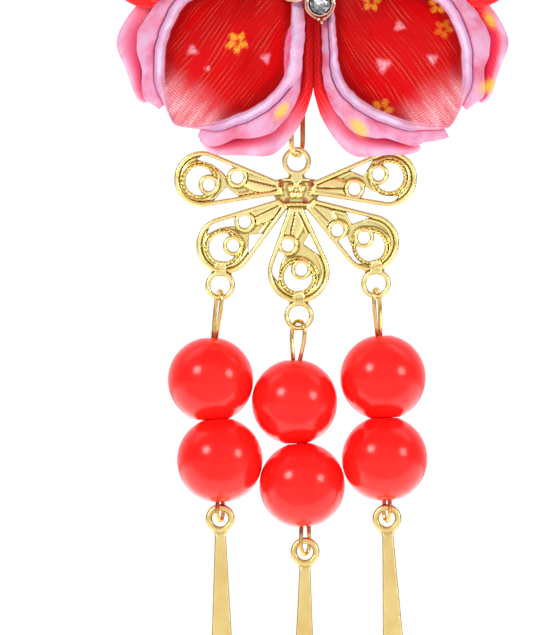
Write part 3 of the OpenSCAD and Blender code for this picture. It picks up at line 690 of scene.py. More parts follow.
polishedGilt = makeGilt("polished_gold_plate", ("#FFF0A8", "#FCE694", "#765810"), 0.28, 0.25)
roseWire = makeGilt("rose_gold_plated_wire", ("#F0D08A", "#DCB066", "#6E4A1C"), 0.16, 0.3)
rosePlate = makeGilt("rose_gold_plate", ("#EFC4B2", "#BC8E7A", "#3E2620"), 0.18, 0.3)
satinGilt = makeGilt("brushed_gold_plate", ("#F2DA94", "#E6C67A", "#6E5A24"), 0.34, 0.12)


# Pierced plate: a stamped filigree, built as a relief on a fine grid

plate = {
    "backY": -2.35, "thick": 0.9, "web": 0.46, "cell": 0.09, "edgeRound": 0.13, "edgeDrop": 0.16,
    "lineWidth": 0.52, "scroll": 1.67, "ring": 1.25, "ringHole": 0.72, "ropePitch": 0.42, "recess": 0.42,
    "neck": 0.62, "fillet": 0.6, "lowCorner": (-17.2, -47), "highCorner": (13, -24.8),
    # half widths of the raised lines: rim, line inside it, rope, line inside that, rings, eyes, boss bars
    "lineHalf": {
        "rim": 0.3, "inRim": 0.18, "rope": 0.24, "inRope": 0.12, "ring": 0.28, "eye": 0.36, "bar": 0.2},
    # centre of the round end, its radius, two points at the root, scroll, ring in it, ring by the leaf
    "wings": [
        ((-13.2, -28.8), 3.33, (-4, -29.1), (-3.6, -30.6), (-13.5, -29.05), (-12.4, -29.5), (-9.02, -28.6)),
        ((9.05, -28.75), 3.33, (-0.4, -30.6), (0, -29.1), (9.1, -28.6), (7.8, -28.25), (4.95, -30)),
        ((-10.5, -36.7), 3.4, (-4.1, -31.2), (-3, -32.2), (-10.7, -37), (-9.5, -36.75), (-8.13, -33.9)),
        ((-1.7, -39.9), 3.69, (-2.9, -32.2), (-1.2, -32.2), (-1.79, -40.5), (-1.4, -39.6), (-2.99, -36.7)),
        ((6.85, -36.4), 3.42, (-0.9, -32.2), (0.2, -31.2), (6.85, -36.9), (6.06, -35.8), (2.9, -34.9)),
    ],
    # the gaps in a wing, along it and across it, as shares of the end's radius
    "wideGap": [(-0.29, 0.68), (0.06, 0.86), (0.74, 0.85), (1.1, 0.72), (1.24, 0.59), (0.97, 0.25),
                (0.86, 0.2), (0.65, 0.36), (0.28, 0.57), (-0.04, 0.64)],
    "narrowGap": [(0.9, -0.2), (1.48, -0.53), (1.56, -0.63), (0.38, -0.89), (0.66, -0.5)],
    "bossEdge": [(-4.7, -28.95), (-2.9, -28.6), (-1.1, -28.6), (0.7, -28.95), (0.75, -30.7), (-0.2, -32.5),
                 (-3.8, -32.5), (-4.75, -30.7)],
    "boss": (-2.02, -30.1), "bossRecesses": [(-1.75, 0.65), (1.75, 0.65), (-1.05, -1.25), (1.05, -1.25)],
    # centre, outer radius and hole of each eye, the top one first, with the length of its neck
    "eyes": [((-1.95, -26.71), 1.72, 1.13, -1.9), ((-11.05, -41.5), 1.77, 1.16, 2.1),
             ((-1.67, -45.1), 1.76, 1.18, 2.1), ((7.5, -41.3), 1.77, 1.16, 2.1)],
}


def toSegment(p, a, b):  # distance to a line from a to b, and the place along it
    a, b = np.asarray(a, float), np.asarray(b, float)
    t = np.clip(((p - a) @ (b - a)) / ((b - a) @ (b - a)), 0, 1)
    return np.linalg.norm(p - a - t[..., None] * (b - a), axis=-1), t


def toOutline(p, corners):  # signed distance to a closed outline, negative inside
    corners = np.asarray(corners, float)
    away, inside = np.full(p.shape[:-1], 1e9), np.zeros(p.shape[:-1], bool)
    for a, b in zip(corners, np.roll(corners, -1, 0)):
        away = np.minimum(away, toSegment(p, a, b)[0])
        crosses = (a[1] > p[..., 1]) != (b[1] > p[..., 1])
        rise = b[1] - a[1] if abs(b[1] - a[1]) > 1e-12 else 1e-12
        inside ^= crosses & (p[..., 0] < (b[0] - a[0]) * (p[..., 1] - a[1]) / rise + a[0])
    return np.where(inside, -away, away)


def toCircle(p, centre, radius):
    return np.linalg.norm(p - np.asarray(centre, float), axis=-1) - radius


def toCurve(p, points):  # distance to a curve through points
    line = curveThrough(points, 5)
    return np.min([toSegment(p, a, b)[0] for a, b in zip(line, line[1:])], 0)


def roundWire(away, halfWidth):  # height of a half-round wire, 0 to 1, by the distance from its middle
    return np.sqrt(np.clip(1 - (away / halfWidth) ** 2, 0, 1))


def roundEdge(edge, width):  # how far a rounded edge has fallen, 0 to 1, by the signed distance to it
    return 1 - np.sqrt(1 - np.clip(1 + edge / width, 0, 1) ** 2)


def softUnion(a, b, blend):  # two distances joined with a fillet
    h = np.clip(0.5 + 0.5 * (b - a) / blend, 0, 1)
    return b * (1 - h) + a * h - blend * h * (1 - h)


class PierceWing:  # one wing of the plate: a teardrop round a scroll, with two rings and a leaf
    def __init__(self, centre, radius, rootA, rootB, scroll, scrollRing, leafRing):
        self.centre, self.radius = np.array(centre), radius
        self.scroll, self.rings = scroll, (scrollRing, leafRing)
        self.roots = np.array([rootA, rootB], float)
        root = (self.roots[0] + self.roots[1]) / 2
        along = (root - self.centre) / np.linalg.norm(root - self.centre)
        self.axes = np.array([along, [-along[1], along[0]]])
        self.tear, self.inner = self.teardrop(0), self.teardrop(plate["lineWidth"])
        wide, narrow = (np.array(plate[gap]) * radius for gap in ("wideGap", "narrowGap"))
        wide = curveThrough(self.onPlate(np.concatenate([wide, wide[:1]])), 5)[:-1]
        self.gaps = [wide, self.onPlate(narrow)]
        self.low, self.high = self.tear.min(0) - 0.6, self.tear.max(0) + 0.6
        # a leaf lies from the root to the ring at its far end, with veins bowed apart
        far, across = np.array(leafRing), self.roots[0] - self.roots[1]
        self.leaf = root, far
        self.veins = [([root, (root + far) / 2 + side * bow * across, far + side * across * 0.6], width)
                      for side, bow, width in ((1, 0.85, 0.09), (-1, 0.85, 0.09), (0, 0, 0.12))]

    def onPlate(self, p):
        p = np.asarray(p)
        return self.centre + p[..., :1] * self.axes[0] + p[..., 1:] * self.axes[1]

    def teardrop(self, margin):
        r = self.radius - margin
        p, q = (self.roots - self.centre) @ self.axes.T - margin * np.array([[1, 0.9], [1, -0.9]])
        a = math.atan2(p[1], p[0]) + math.acos(r / np.hypot(*p))
        b = math.atan2(q[1], q[0]) - math.acos(r / np.hypot(*q)) + fullTurn
        arc = [r * np.array([math.cos(c), math.sin(c)]) for c in np.linspace(a, b, 48)]
        return self.onPlate([p] + arc + [q])

    def near(self, p):
        return ((p > self.low) & (p < self.high)).all(-1)

    def shape(self, p):
        scroll, outline = toCircle(p, self.scroll, plate["scroll"]), toOutline(p, self.tear)
        body = np.max([outline, -scroll] + [-toOutline(p, gap) for gap in self.gaps], 0)
        body = np.minimum(body, np.maximum(scroll - plate["lineWidth"], -scroll))
        body = np.minimum(body, np.maximum(outline, -toOutline(p, self.inner)))
        return np.min([body] + [toCircle(p, centre, plate["ring"]) for centre in self.rings], 0)

    def lines(self, p):  # height of the raised lines above the web, 0 to 1
        inside = -toOutline(p, self.tear)
        v = p - np.array(self.scroll)
        r, turn = np.linalg.norm(v, axis=-1), np.arctan2(v[..., 1], v[..., 0])
        beat = (turn * plate["scroll"] + (r - plate["scroll"]) * 1.2) * fullTurn / plate["ropePitch"]
        half, fromScroll = plate["lineHalf"], r - plate["scroll"]
        raised = [roundWire(inside - 0.27, half["rim"]) ** 0.7, 0.3 * roundWire(inside - 0.8, half["inRim"]),
                  roundWire(fromScroll - 0.22, half["rope"]) * (0.74 + 0.26 * np.sin(beat)),
                  0.5 * roundWire(fromScroll - 0.6, half["inRope"])]
        for centre, high in zip(self.rings, (0.95, 0.85)):
            away = toCircle(p, centre, (plate["ring"] + plate["ringHole"]) / 2)
            raised.append(roundWire(away, half["ring"]) * high)
        away, t = toSegment(p, *self.leaf)
        leaf = 0.85 * roundWire(away, 0.3 + 1.15 * np.sin(math.pi * t ** 0.8)) ** 0.8
        for points, width in self.veins:
            leaf = leaf - 0.4 * roundWire(toCurve(p, points), width) * (leaf > 0.3)
        raised.append(np.where(toCircle(p, self.rings[1], plate["ring"]) > 0.05, leaf, 0))
        return np.where(inside > -0.02, np.max(raised, 0), 0)


wings = [PierceWing(*row) for row in plate["wings"]]


def plateShape(p):  # signed distance to the plate's edge
    whole = toOutline(p, plate["bossEdge"])
    for wing in wings:
        near = wing.near(p)
        whole[near] = np.minimum(whole[near], wing.shape(p[near]))
    for wing in wings:
        for centre in wing.rings:
            whole = np.maximum(whole, -toCircle(p, centre, plate["ringHole"]))
    for centre, outer, hole, neck in plate["eyes"]:
        whole = softUnion(whole, toCircle(p, centre, outer), plate["fillet"])
        arm = toSegment(p, centre, (centre[0], centre[1] + neck))[0] - plate["neck"]
        whole = softUnion(whole, arm, plate["fillet"])
        whole = np.maximum(whole, -toCircle(p, centre, hole))
    return whole


def bossRecess(p):  # the small recessed corners of the boss, 0 to 1, which also carry a painted red reflection
    spots = np.array(plate["boss"]) + plate["bossRecesses"]
    away = np.min([toCircle(p, spot, plate["recess"]) for spot in spots], 0)
    return smoothStep(-away, 0, 0.16)


def plateRelief(p, edge):  # height above the back
    height = np.zeros(p.shape[:-1])
    for wing in wings:
        near = wing.near(p)
        height[near] = np.maximum(height[near], wing.lines(p[near]))
    boss = np.array(plate["boss"])
    # the boss: a blossom of domes round a small one, a bar above and below, a dot at each side
    raised = [height, 0.8 * roundWire(toCircle(p, boss, 0), 0.26)]
    raised += [roundWire(toCircle(p, boss + 0.66 * np.array([math.cos(a), math.sin(a)]), 0), 0.46)
               for a in map(math.radians, range(90, 450, 72))]
    raised += [0.75 * roundWire(toSegment(p, boss + [-1.6, z], boss + [1.6, z])[0], plate["lineHalf"]["bar"])
               for z in (1.25, -1.75)]
    raised += [0.6 * roundWire(toCircle(p, boss + [x, -0.35], 0), 0.3) for x in (-1.75, 1.75)]
    height = np.max(raised, 0)
    for centre, outer, hole, neck in plate["eyes"]:
        onEye = toCircle(p, centre, outer + 0.1) < 0
        around = roundWire(toCircle(p, centre, (outer + hole) / 2), plate["lineHalf"]["eye"])
        height = np.where(onEye, 0.75 * around, height)
        start, end = (1.45, 2.2) if neck > 0 else (-1.45, -2)
        away = toSegment(p, (centre[0], centre[1] + start), (centre[0], centre[1] + end))[0]
        height = np.maximum(height, 0.72 * smoothStep(0.85 - away, 0, 0.3))
    raised = (plate["thick"] - plate["web"]) * (height * (1 - bossRecess(p)))
    return plate["web"] + raised - plate["edgeDrop"] * roundEdge(edge, plate["edgeRound"])


def blurred(field, mask, reach):  # mean over a square of the grid, counting what the mask holds
    def box(a):
        for axis in (0, 1):
            a = sum(np.roll(a, k, axis) for k in range(-reach, reach + 1))
        return a
    return box(np.where(mask, field, 0)) / np.maximum(box(mask.astype(float)), 1)


def reliefMesh(shape, relief, low, high, cell, backRound=0.08):
    # grid cells inside the shape, their border drawn onto its edge; a front by relief, a flat back
    xs, zs = (np.arange(low[k] - cell, high[k] + 2 * cell, cell) for k in (0, 1))
    grid = np.stack(np.meshgrid(xs, zs, indexing="ij"), -1)
    full = shape(grid[:-1, :-1] + cell / 2) < 0
    # a cell that meets another at a corner only gets a neighbour, so that the border has no pinch
    for _ in range(3):
        pinch = full[:-1, :-1] & full[1:, 1:] & ~full[1:, :-1] & ~full[:-1, 1:]
        full[1:, :-1] |= pinch
        pinch = ~full[:-1, :-1] & ~full[1:, 1:] & full[1:, :-1] & full[:-1, 1:]
        full[:-1, :-1] |= pinch
    used = sum(np.pad(full.astype(int), ((a, 1 - a), (b, 1 - b))) for a in (0, 1) for b in (0, 1))
    index = np.full(used.shape, -1)
    index[used > 0] = np.arange((used > 0).sum())
    points = grid[used > 0]
    border = (used[used > 0] < 4)
    p = points[border]
    tiny = 1e-3
    for _ in range(4):
        slope = np.stack([shape(p + d) - shape(p - d) for d in (np.array([tiny, 0]), np.array([0, tiny]))], -1)
        slope /= np.maximum(np.linalg.norm(slope, axis=-1), 1e-9)[:, None]
        p = p - slope * np.clip(shape(p), -cell, cell)[:, None] * 0.9
    points[border] = p
    ci, cj = np.nonzero(full)
    quads = np.stack([index[ci, cj], index[ci + 1, cj], index[ci + 1, cj + 1], index[ci, cj + 1]], -1)
    edge = np.minimum(shape(points), 0)
    edge[border] = 0
    height = relief(points, edge)
    field = np.zeros(used.shape)
    field[used > 0] = height
    # painted shade: darker where the relief lies lower than the mean round it, as in its grooves
    groove = np.clip((blurred(field, used > 0, 3)[used > 0] - height) / (0.05 * plate["thick"]) - 0.25, 0, 1)
    back = backRound * roundEdge(edge, 0.12)
    # open edges of the front are the ones used once
    pairs = np.concatenate([quads[:, [k, (k + 1) % 4]] for k in range(4)])
    _, which, times = np.unique(np.sort(pairs, 1), axis=0, return_inverse=True, return_counts=True)
    count = len(points)
    side = [(b, a, a + count, b + count) for a, b in pairs[times[which.ravel()] == 1]]
    faces = quads.tolist() + (quads[:, ::-1] + count).tolist() + side
    solid = np.concatenate([np.stack([points[:, 0], -y, points[:, 1]], -1) for y in (height, back)])
    return points, groove, solid, faces


def makeFiligree():
    points, groove, solid, faces = reliefMesh(
        plateShape, plateRelief, plate["lowCorner"], plate["highCorner"], plate["cell"])
    piece = addMesh("piercedPlate", solid + [0, plate["backY"], 0], faces, [polishedGilt], 60)
    # painted shade: a thin dark line along every edge, added to the painted shade of the grooves
    groove = np.maximum(0.8 * groove, 0.6 * smoothStep(plateShape(points), -0.24, -0.02))
    # painted reflection: the boss's recessed corners are red with the red picked up from the cloth and beads
    addValues(piece, groove=np.concatenate([groove, groove * 0 + 0.1]),
              redness=np.concatenate([0.75 * bossRecess(points), groove * 0]))
    dress(piece, "drop", "filigree")


makeFiligree()
print("pierced plate stamped")


# Strands: eye pin, two beads and a bar

strand = {
    "dropY": -2.8, "beadWidth": 10.2, "beadSides": 96, "bore": 2, "pinWire": 0.5,
    # width of each loop, and how far its legs are from its middle where they meet
    "topLoop": (2.9, 0.68), "bottomLoop": (2, 0.66), "topSeat": 0.3, "loopEnd": 0.55,
    "barRing": 1.72, "barHole": 0.95, "barNeck": 1.24, "barEnd": 4, "barLength": 36, "barThick": 0.5,
    "barCell": 0.125,
    # upper bead, its depth, lower bead, its depth, foot of the top loop, top of the bottom loop, bar's ring,
    # lean of the bar, turn of the top loop, turn of the bottom loop
    "rows": {
        "left": ((-12.2, -52.74), 0.3, (-11.1, -62.26), -0.3, (-11.72, -47.65), (-11.05, -67.2),
                 (-11.05, -69.23), 0.8, 15, 62),
        "middle": ((-2.2, -55.36), 0.1, (-1.3, -65.24), -0.1, (-1.95, -50.25), (-0.95, -70.2),
                   (-0.95, -73.2), -0.4, 38, 48),
        "right": ((8.33, -52.44), 0.2, (8.52, -62.11), -0.2, (7.84, -47.35), (8.8, -67.1),
                  (8.8, -69.24), 2.9, -16, 118),
    },
}


def makeBeadPlastic():
    # glossy opaque acrylic, moulded: bright red right through, its colour clouded over some 5 mm, a little
    # light carried inside, a hard clear shine
    material, add = newMaterial("opaque_red_acrylic")
    cloud = add("TexNoise", add("TexCoord").outputs["Object"], Scale=0.19 / mm, Detail=2.0)
    tone = add("ValToRGB", cloud, stops=[(0.3, "#F8140F"), (0.7, "#FF201B")])
    shader = add("BsdfPrincipled", **{
        "Base Color": tone, "Roughness": 0.2, "IOR": 1.46, "Specular IOR Level": 0.3, "Subsurface Weight": 0.3,
        "Subsurface Radius": (1.0, 0.12, 0.08), "Subsurface Scale": 0.0022})
    add("OutputMaterial", shader)
    return material


beadPlastic = makeBeadPlastic()


def alongMatrix(v, at):  # a place whose Z axis lies along v
    heading, fall = math.degrees(math.atan2(v.y, v.x)), math.degrees(math.acos(v.z / v.length))
    return shift(*at) @ spin("Z", heading) @ spin("Y", fall)


class Strand:  # the places of one strand, in the plane that the drop hangs in
    def __init__(self, name, eye, row):
        upper, upperDepth, lower, lowerDepth, foot, low, self.ring, self.lean, self.topTurn, self.lowTurn = row
        self.name = name
        at = lambda spot, depth: Vector((spot[0], strand["dropY"] + depth, spot[1]))
        wire = strand["pinWire"]
        self.top = at((eye[0][0], eye[0][1] - eye[2] + strand["topSeat"] + wire / 2), 0)
        self.beads = at(upper, upperDepth), at(lower, lowerDepth)
        # the wire: foot of the top loop, between the beads, top of the bottom loop
        self.wire = at(foot, 2 * upperDepth), (self.beads[0] + self.beads[1]) / 2, at(low, 2 * lowerDepth)


def makeBead(s, k):
    axis = s.wire[k + 1] - s.wire[k]
    r, bore = strand["beadWidth"] / 2, strand["bore"] / 2
    free = math.sqrt(r * r - (bore + 0.2) ** 2)
    # two beads of a strand rest on each other at the flats round their holes
    touching = min(free, (s.beads[0] - s.beads[1]).length / 2 - 0.015)
    ends = (free, touching) if k else (touching, free)
    caps = [[(bore, end - 0.4), (bore + 0.02, end - 0.2), (bore + 0.08, end - 0.07),
             ((bore + 0.08 + math.sqrt(r * r - end * end)) / 2, end - 0.01)] for end in ends]
    arc = np.linspace(math.acos(ends[0] / r) + 0.012, math.pi - math.acos(ends[1] / r) - 0.012, 76)
    profile = [(bore, 0)] + caps[0] + [(r * math.sin(a), r * math.cos(a)) for a in arc]
    profile += [(x, -z) for x, z in reversed(caps[1])] + [(bore, 0)]
    points, faces = turnedSolid(profile[::-1], strand["beadSides"])
    count = len(points) - strand["beadSides"]  # the bore's seam is one ring
    faces = [tuple(i % count for i in f) for f in faces]
    name = s.name + ("Upper", "Lower")[k] + "Bead"
    piece = addMesh(name, moved(points[:count], alongMatrix(axis, s.beads[k])), faces, [beadPlastic], 80)
    dress(piece, "drop", s.name + ("_upper", "_lower")[k] + "_bead")


def hairpin(height, width, close):  # a long loop in XZ, open below: its two legs go into the bead
    wide, end = (width - strand["pinWire"]) / 2, 0.5 * height
    half = np.array([(0, 0, end), (0.55 * wide, 0, end - 0.18), (0.95 * wide, 0, end - 0.85),
                     (wide, 0, 0.04 * height), (0.6 * close + 0.4 * wide, 0, -0.3 * height), (close, 0, -end),
                     (close, 0, -end - 0.7), (0.1, 0, -end - 1.5)])
    return curveThrough(np.concatenate([half[::-1] * [-1, 1, 1], half[1:]]), 6)


def makeEyePin(s):
    wire, (foot, between, low) = strand["pinWire"], s.wire
    fall = foot - s.top
    heading = math.degrees(math.atan2(fall.y, fall.x))
    # the loop's own axis points down, so the hairpin goes in upside down
    turned = alongMatrix(fall, (s.top + foot) / 2) @ spin("Z", heading - 90 - s.topTurn) @ spin("X", 180)
    # the lower loop reaches well into the bar's hole
    drop = low.z - s.ring[1] + strand["loopEnd"] - wire / 2
    hung = shift(low.x, low.y, low.z - drop / 2) @ spin("Z", s.lowTurn) @ spin("X", 180)
    shaft = curveThrough(np.array([foot.lerp(between, 0.2), between, low + Vector((0, 0, 1.2))]), 10)
    paths = [(moved(hairpin(fall.length, *strand["topLoop"]), turned), wire / 2), (shaft, wire * 0.46),
             (moved(hairpin(drop, *strand["bottomLoop"]), hung), wire / 2)]
    points, faces = joined([(tubeAlong(path, radius, 14), Matrix()) for path, radius in paths])
    piece = addMesh(s.name + "EyePin", points, faces, [roseWire], 70)
    # painted reflection: the wire is red with the bead's colour just outside it
    away = np.minimum(*[toCircle(points, bead, strand["beadWidth"] / 2) for bead in s.beads])
    addValues(piece, redness=0.85 * (1 - smoothStep(away, 0.5, 1.1)))
    dress(piece, "drop", s.name + "_eye_pin")


def makeBar(s):
    ringEdge, hole, thick = strand["barRing"], strand["barHole"], strand["barThick"]
    reach = strand["barLength"] - strand["barEnd"] / 2 - ringEdge
    neck, end = strand["barNeck"] / 2, strand["barEnd"] / 2
    blade = [(-neck, -1.2), (-end, -reach), (end, -reach), (neck, -1.2)]

    def shape(p):
        whole = softUnion(toCircle(p, (0, 0), ringEdge), toOutline(p, blade), 0.5)
        return np.maximum(np.minimum(whole, toCircle(p, (0, -reach), end)), -toCircle(p, (0, 0), hole))

    def relief(p, edge):
        onRing = 1 - smoothStep(toCircle(p, (0, 0), ringEdge), -0.15, 0.4)
        height = thick - 0.17 * (1 - roundWire(toCircle(p, (0, 0), (ringEdge + hole) / 2), 0.4)) * onRing
        return height - plate["edgeDrop"] * roundEdge(edge, 0.2)

    points, _, solid, faces = reliefMesh(shape, relief, (-2.1, -36), (2.1, 1.8), strand["barCell"], 0.1)
    place = shift(s.ring[0], s.wire[2].y + thick / 2, s.ring[1]) @ spin("Y", -s.lean)
    piece = addMesh(s.name + "Bar", moved(solid, place), faces, [satinGilt], 60)
    onRing = 1 - smoothStep(toCircle(points, (0, 0), ringEdge), -0.1, 0.3)
    # painted shade: darker in the dish of the ring and in a thin line along every edge
    dish = 0.5 * onRing * smoothStep(np.abs(toCircle(points, (0, 0), 1.38)), 0.05, 0.3)
    addValues(piece, groove=np.tile(np.maximum(dish, 0.8 * smoothStep(shape(points), -0.16, -0.02)), 2))
    dress(piece, "drop", s.name + "_bar")


for (strandName, strandRow), lowerEye in zip(strand["rows"].items(), plate["eyes"][1:]):
    hung = Strand(strandName, lowerEye, strandRow)
    makeBead(hung, 0)
    makeBead(hung, 1)
    makeEyePin(hung)
    makeBar(hung)
print("strands strung")


# Jump ring

ringWire = {
    "centre": (-1.9, -2.8, -22.42), "height": 7.95, "width": 4.6, "wire": 0.6, "turn": 20, "opening": 0.12,
    "openingAt": 62}


def makeRing():
    bend, rise = (ringWire["width"] - ringWire["wire"]) / 2, (ringWire["height"] - ringWire["width"]) / 2
    start = math.radians(ringWire["openingAt"])
    path = [(bend * math.cos(a), 0.0, bend * math.sin(a) + rise * max(-1, min(1, 9 * math.sin(a))))
            for a in np.linspace(start, start + fullTurn - ringWire["opening"] / bend, 120)]
    place = shift(*ringWire["centre"]) @ spin("Z", 90 - ringWire["turn"])
    points, faces = tubeAlong(moved(path, place), ringWire["wire"] / 2, 18)
    piece = addMesh("jumpRing", points, faces, [roseWire], 60)
    # painted reflection: its right and upper parts are red with the petals above
    height = smoothStep(moved(points, place.inverted())[:, 2], -3, 1)
    toRight = smoothStep(points[:, 0] - ringWire["centre"][0], -0.2, 0.3)
    addValues(piece, redness=height * (0.3 + 0.45 * toRight))
    dress(piece, "ring", "link")


makeRing()
print("ring closed")


# Centre ornament and its stones

ornament = {
    # stones: width, the bezel's wall and height, how high the stone sits, and its facets round
    "big": (5, 0.45, 2.6, 1.05, 12), "small": (2.5, 0.32, 1.9, 1, 8),
    "depth": 7.4, "turn": 5.4, "ringAt": 8.32, "grains": 28, "grainAt": 3.62, "claws": 4,
    "leafAt": 6.15, "leafAside": 27, "leaf": (2.45, 1.8),
    "stem": [(0, 0.1), (1.3, 0.1), (1.5, 0.3), (1.5, 7.3), (1.9, 7.42)],
    "disc": [(3.75, 0), (3.9, 0.12), (3.9, 0.66), (3.78, 0.8), (3.55, 0.78), (3.4, 0.68), (3.1, 0.72),
             (0, 0.74)],
}
stoneTurns = [turn + 36 + ornament["turn"] for turn in petal["angle"].values()]
bezelPlaces = [flowerPlace(turn, ornament["ringAt"], ornament["depth"]) for turn in stoneTurns]


def bezel(size):
    stone, wall, height = ornament[size][:3]
    r = stone / 2
    return turnedSolid([
        (0, 0), (r + 0.7 * wall, 0), (r + 0.95 * wall, 0.12), (r + wall, 0.5 * height),
        (r + wall, height - 0.18), (r + 0.85 * wall, height - 0.02), (r + 0.5 * wall, height + 0.02),
        (r + 0.06, height - 0.1), (r + 0.04, height * 0.5), (r + 0.03, 0.85), (0, 0.82)], 48)


def claw(size):
    stone, _, height = ornament[size][:3]
    r = stone / 2
    path = curveThrough(np.array([
        (r + 0.3, 0, height * 0.35), (r + 0.34, 0, height * 0.8), (r + 0.3, 0, height + 0.22),
        (r + 0.12, 0, height + 0.4), (r - 0.16, 0, height + 0.38)]), 4)
    radius = np.interp(np.linspace(0, 1, len(path)), [0, 0.7, 0.92, 1], [0.2, 0.22, 0.19, 0.08])
    return tubeAlong(path, radius, 10)


def makeSetting():
    front = ornament["depth"]
    centre = flowerPlace(0, 0, front)
    stem = turnedSolid(ornament["stem"] + [(r, front + h) for r, h in ornament["disc"]], 64)
    parts = [(stem, flowerPlace(0)), (bezel("big"), centre)]
    parts += [(claw("big"), centre @ spin("Z", 45 + 360 / ornament["claws"] * k))
              for k in range(ornament["claws"])]
    grain = turnedSolid([(0, 0), (0.2, 0.04), (0.28, 0.14), (0.2, 0.3), (0, 0.36)], 10)
    for k in range(ornament["grains"]):  # fine grains round the disc
        a = math.radians(360 / ornament["grains"] * k)
        spot = shift(ornament["grainAt"] * math.cos(a), ornament["grainAt"] * math.sin(a), 0.68)
        parts.append((grain, centre @ spot))
    middle = sum(ornament["leaf"]) / 2
    a = np.linspace(0, fullTurn, 72, endpoint=False)
    leaf = tubeAlong(np.stack([middle * np.cos(a), middle * np.sin(a), 0 * a + 0.4], -1),
                     0.3 + 0.03 * np.sin(a * 18), 12, True)
    armPath = curveThrough(np.array([(3.2, 0, 0.4), (4.6, 0, 0.46), (6.2, 0, 0.42), (7.3, 0, 0.4)]), 5)
    arm = tubeAlong(armPath, np.interp(np.linspace(0, 1, len(armPath)), [0, 0.5, 1], [0.45, 0.34, 0.42]), 12)
    # a pointed wire frame lies round each outer bezel, with three grains at its point
    around = [(1.68 * math.cos(a), 1.68 * math.sin(a), 0.5) for a in np.radians(np.linspace(70, 290, 12))]
    pointed = [(1.98, 0.06, 0.5), (1.4, 0.95, 0.5)] + around + [(1.4, -0.95, 0.5), (1.98, -0.06, 0.5)]
    frameWire = tubeAlong(curveThrough(np.array(pointed), 5), 0.17, 10)
    outerBezel = bezel("small")
    tip = turnedSolid([(0, 0.1), (0.2, 0.16), (0.3, 0.5), (0.2, 0.86), (0, 0.96)], 14)
    for turn, place in zip(stoneTurns, bezelPlaces):
        parts += [(arm, flowerPlace(turn, 0, front)), (outerBezel, place), (frameWire, place)]
        parts += [(tip, place @ shift(x, y, 0)) for x, y in ((1.8, -0.33), (1.8, 0.33), (2.24, 0))]
        parts += [(leaf, flowerPlace(turn + side * ornament["leafAside"], ornament["leafAt"], front))
                  for side in (-1, 1)]
    points, faces = joined(parts)
    piece = addMesh("centreSetting", points, faces, [rosePlate], 50)
    # painted shade: dark in the seats round the stones
    dark = np.zeros(len(points))
    for size, place in [("big", centre)] + [("small", place) for place in bezelPlaces]:
        local = moved(points, place.inverted())
        reach = np.hypot(local[:, 0], local[:, 1]) - ornament[size][0] / 2
        dark = np.maximum(dark, (np.abs(reach - 0.05) < 0.05) & (local[:, 2] > 0.5))
    addValues(piece, groove=dark)
    dress(piece, "flower", "centre_setting")


def makeStoneMaterials():
    # cut glass with a mirror foil on its back: light goes in by the crown and comes back off the foil. The
    # glass is a little hazed and the foil clouded, in patches about 1 mm wide
    glass, add = newMaterial("cut_lead_glass")
    haze = add("TexNoise", add("TexCoord").outputs["Object"], Scale=0.9 / mm)
    rough = add("MapRange", haze, 0.3, 0.7, 0.01, 0.04)
    shader = add("BsdfPrincipled", **{
        "Base Color": "#F6FAFC", "Transmission Weight": 1.0, "IOR": 1.62, "Roughness": rough})
    add("OutputMaterial", shader)
    foil, add = newMaterial("silver_foil_backing")
    cloud = add("TexNoise", add("TexCoord").outputs["Object"], Scale=1.1 / mm)
    tone = add("ValToRGB", cloud, stops=[(0.36, "#A0A6AC"), (0.58, "#FDFDFE")])
    shader = add("BsdfPrincipled", **{"Metallic": 1.0, "Roughness": 0.16, "Base Color": tone})
    add("OutputMaterial", shader)
    return [glass, foil]


stoneMaterials = makeStoneMaterials()


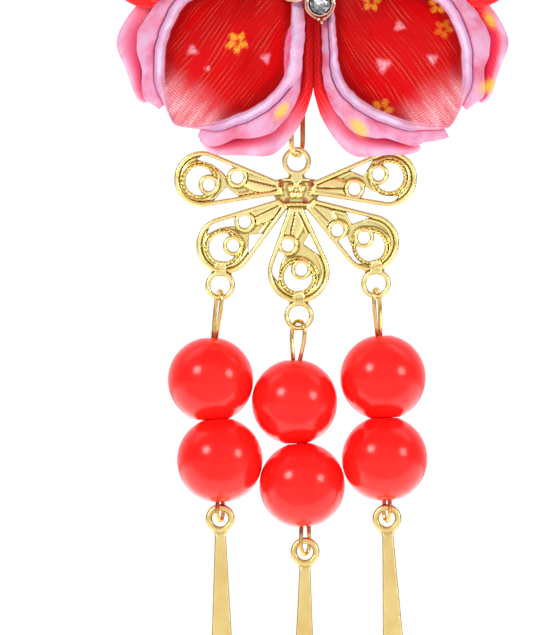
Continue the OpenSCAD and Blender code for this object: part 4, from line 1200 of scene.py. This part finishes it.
def makeStone(name, node, size, turn, reach):
    # round brilliant: table, star, bezel and girdle facets above, main facets below
    width, _, _, seat, sides = ornament[size]
    place = flowerPlace(turn, reach, ornament["depth"] + seat + 0.3 * width)
    rows = (0.55, 0.17, 0.5), (0.8, 0.105, 0), (1, 0.02, 0.5), (1, -0.02, 0.5), (0.45, -0.2, 0)
    angles = [(share * width / 2, rise * width, fullTurn * (i + ahead) / sides)
              for share, rise, ahead in rows for i in range(sides)]
    points = [(r * math.cos(a), r * math.sin(a), z) for r, z, a in angles] + [(0, 0, -0.3 * width)]
    at = lambda ring, i: ring * sides + i % sides
    faces, back = [tuple(range(sides))], [0]
    for i in range(sides):
        faces += [(at(0, i - 1), at(1, i), at(0, i)), (at(1, i), at(2, i - 1), at(2, i)),
                  (at(0, i), at(1, i), at(2, i)), (at(0, i), at(2, i), at(1, i + 1)),
                  (at(2, i), at(2, i - 1), at(3, i - 1), at(3, i)), (at(3, i), at(3, i - 1), at(4, i)),
                  (at(3, i), at(4, i), at(4, i + 1)), (at(4, i + 1), at(4, i), 5 * sides)]
        back += [0, 0, 0, 0, 0, 1, 1, 1]
    piece = addMesh(name, moved(points, place), faces, stoneMaterials, 1, back)
    dress(piece, "flower", node)


makeSetting()
makeStone("centreStone", "centre_stone", "big", 0, 0)
for k, stoneTurn in enumerate(stoneTurns, 1):
    makeStone("outerStone_%d" % k, "outer_stone_%d" % k, "small", stoneTurn, ornament["ringAt"])
print("stones set")


# Clip

def makeSteel():
    # nickel-plated spring steel, rolled: a grey mirror with lines some 8 mm long and 0.5 mm apart, drawn
    # coarser than real ones
    material, add = newMaterial("nickel_plated_spring_steel")
    place = add("TexCoord").outputs["Object"]
    lines = add("Mapping", place, Scale=(0.12 / mm, 2.2 / mm, 2.2 / mm))
    grain = add("TexNoise", lines, Scale=1.0, Detail=3.0)
    tone = add("ValToRGB", grain, stops=[(0.3, "#C0C1C4"), (0.7, "#D2D3D6")])
    rough = add("MapRange", grain, 0.25, 0.75, 0.18, 0.34)
    bump = add("Bump", Strength=0.15, Distance=0.00001, Height=grain)
    shader = add("BsdfPrincipled", **{
        "Metallic": 1.0, "Base Color": tone, "Roughness": rough, "Normal": bump})
    add("OutputMaterial", shader)
    return material


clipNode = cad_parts["clip"]
clipNode.data.materials.clear()
clipNode.data.materials.append(makeSteel())
print("clip finished")
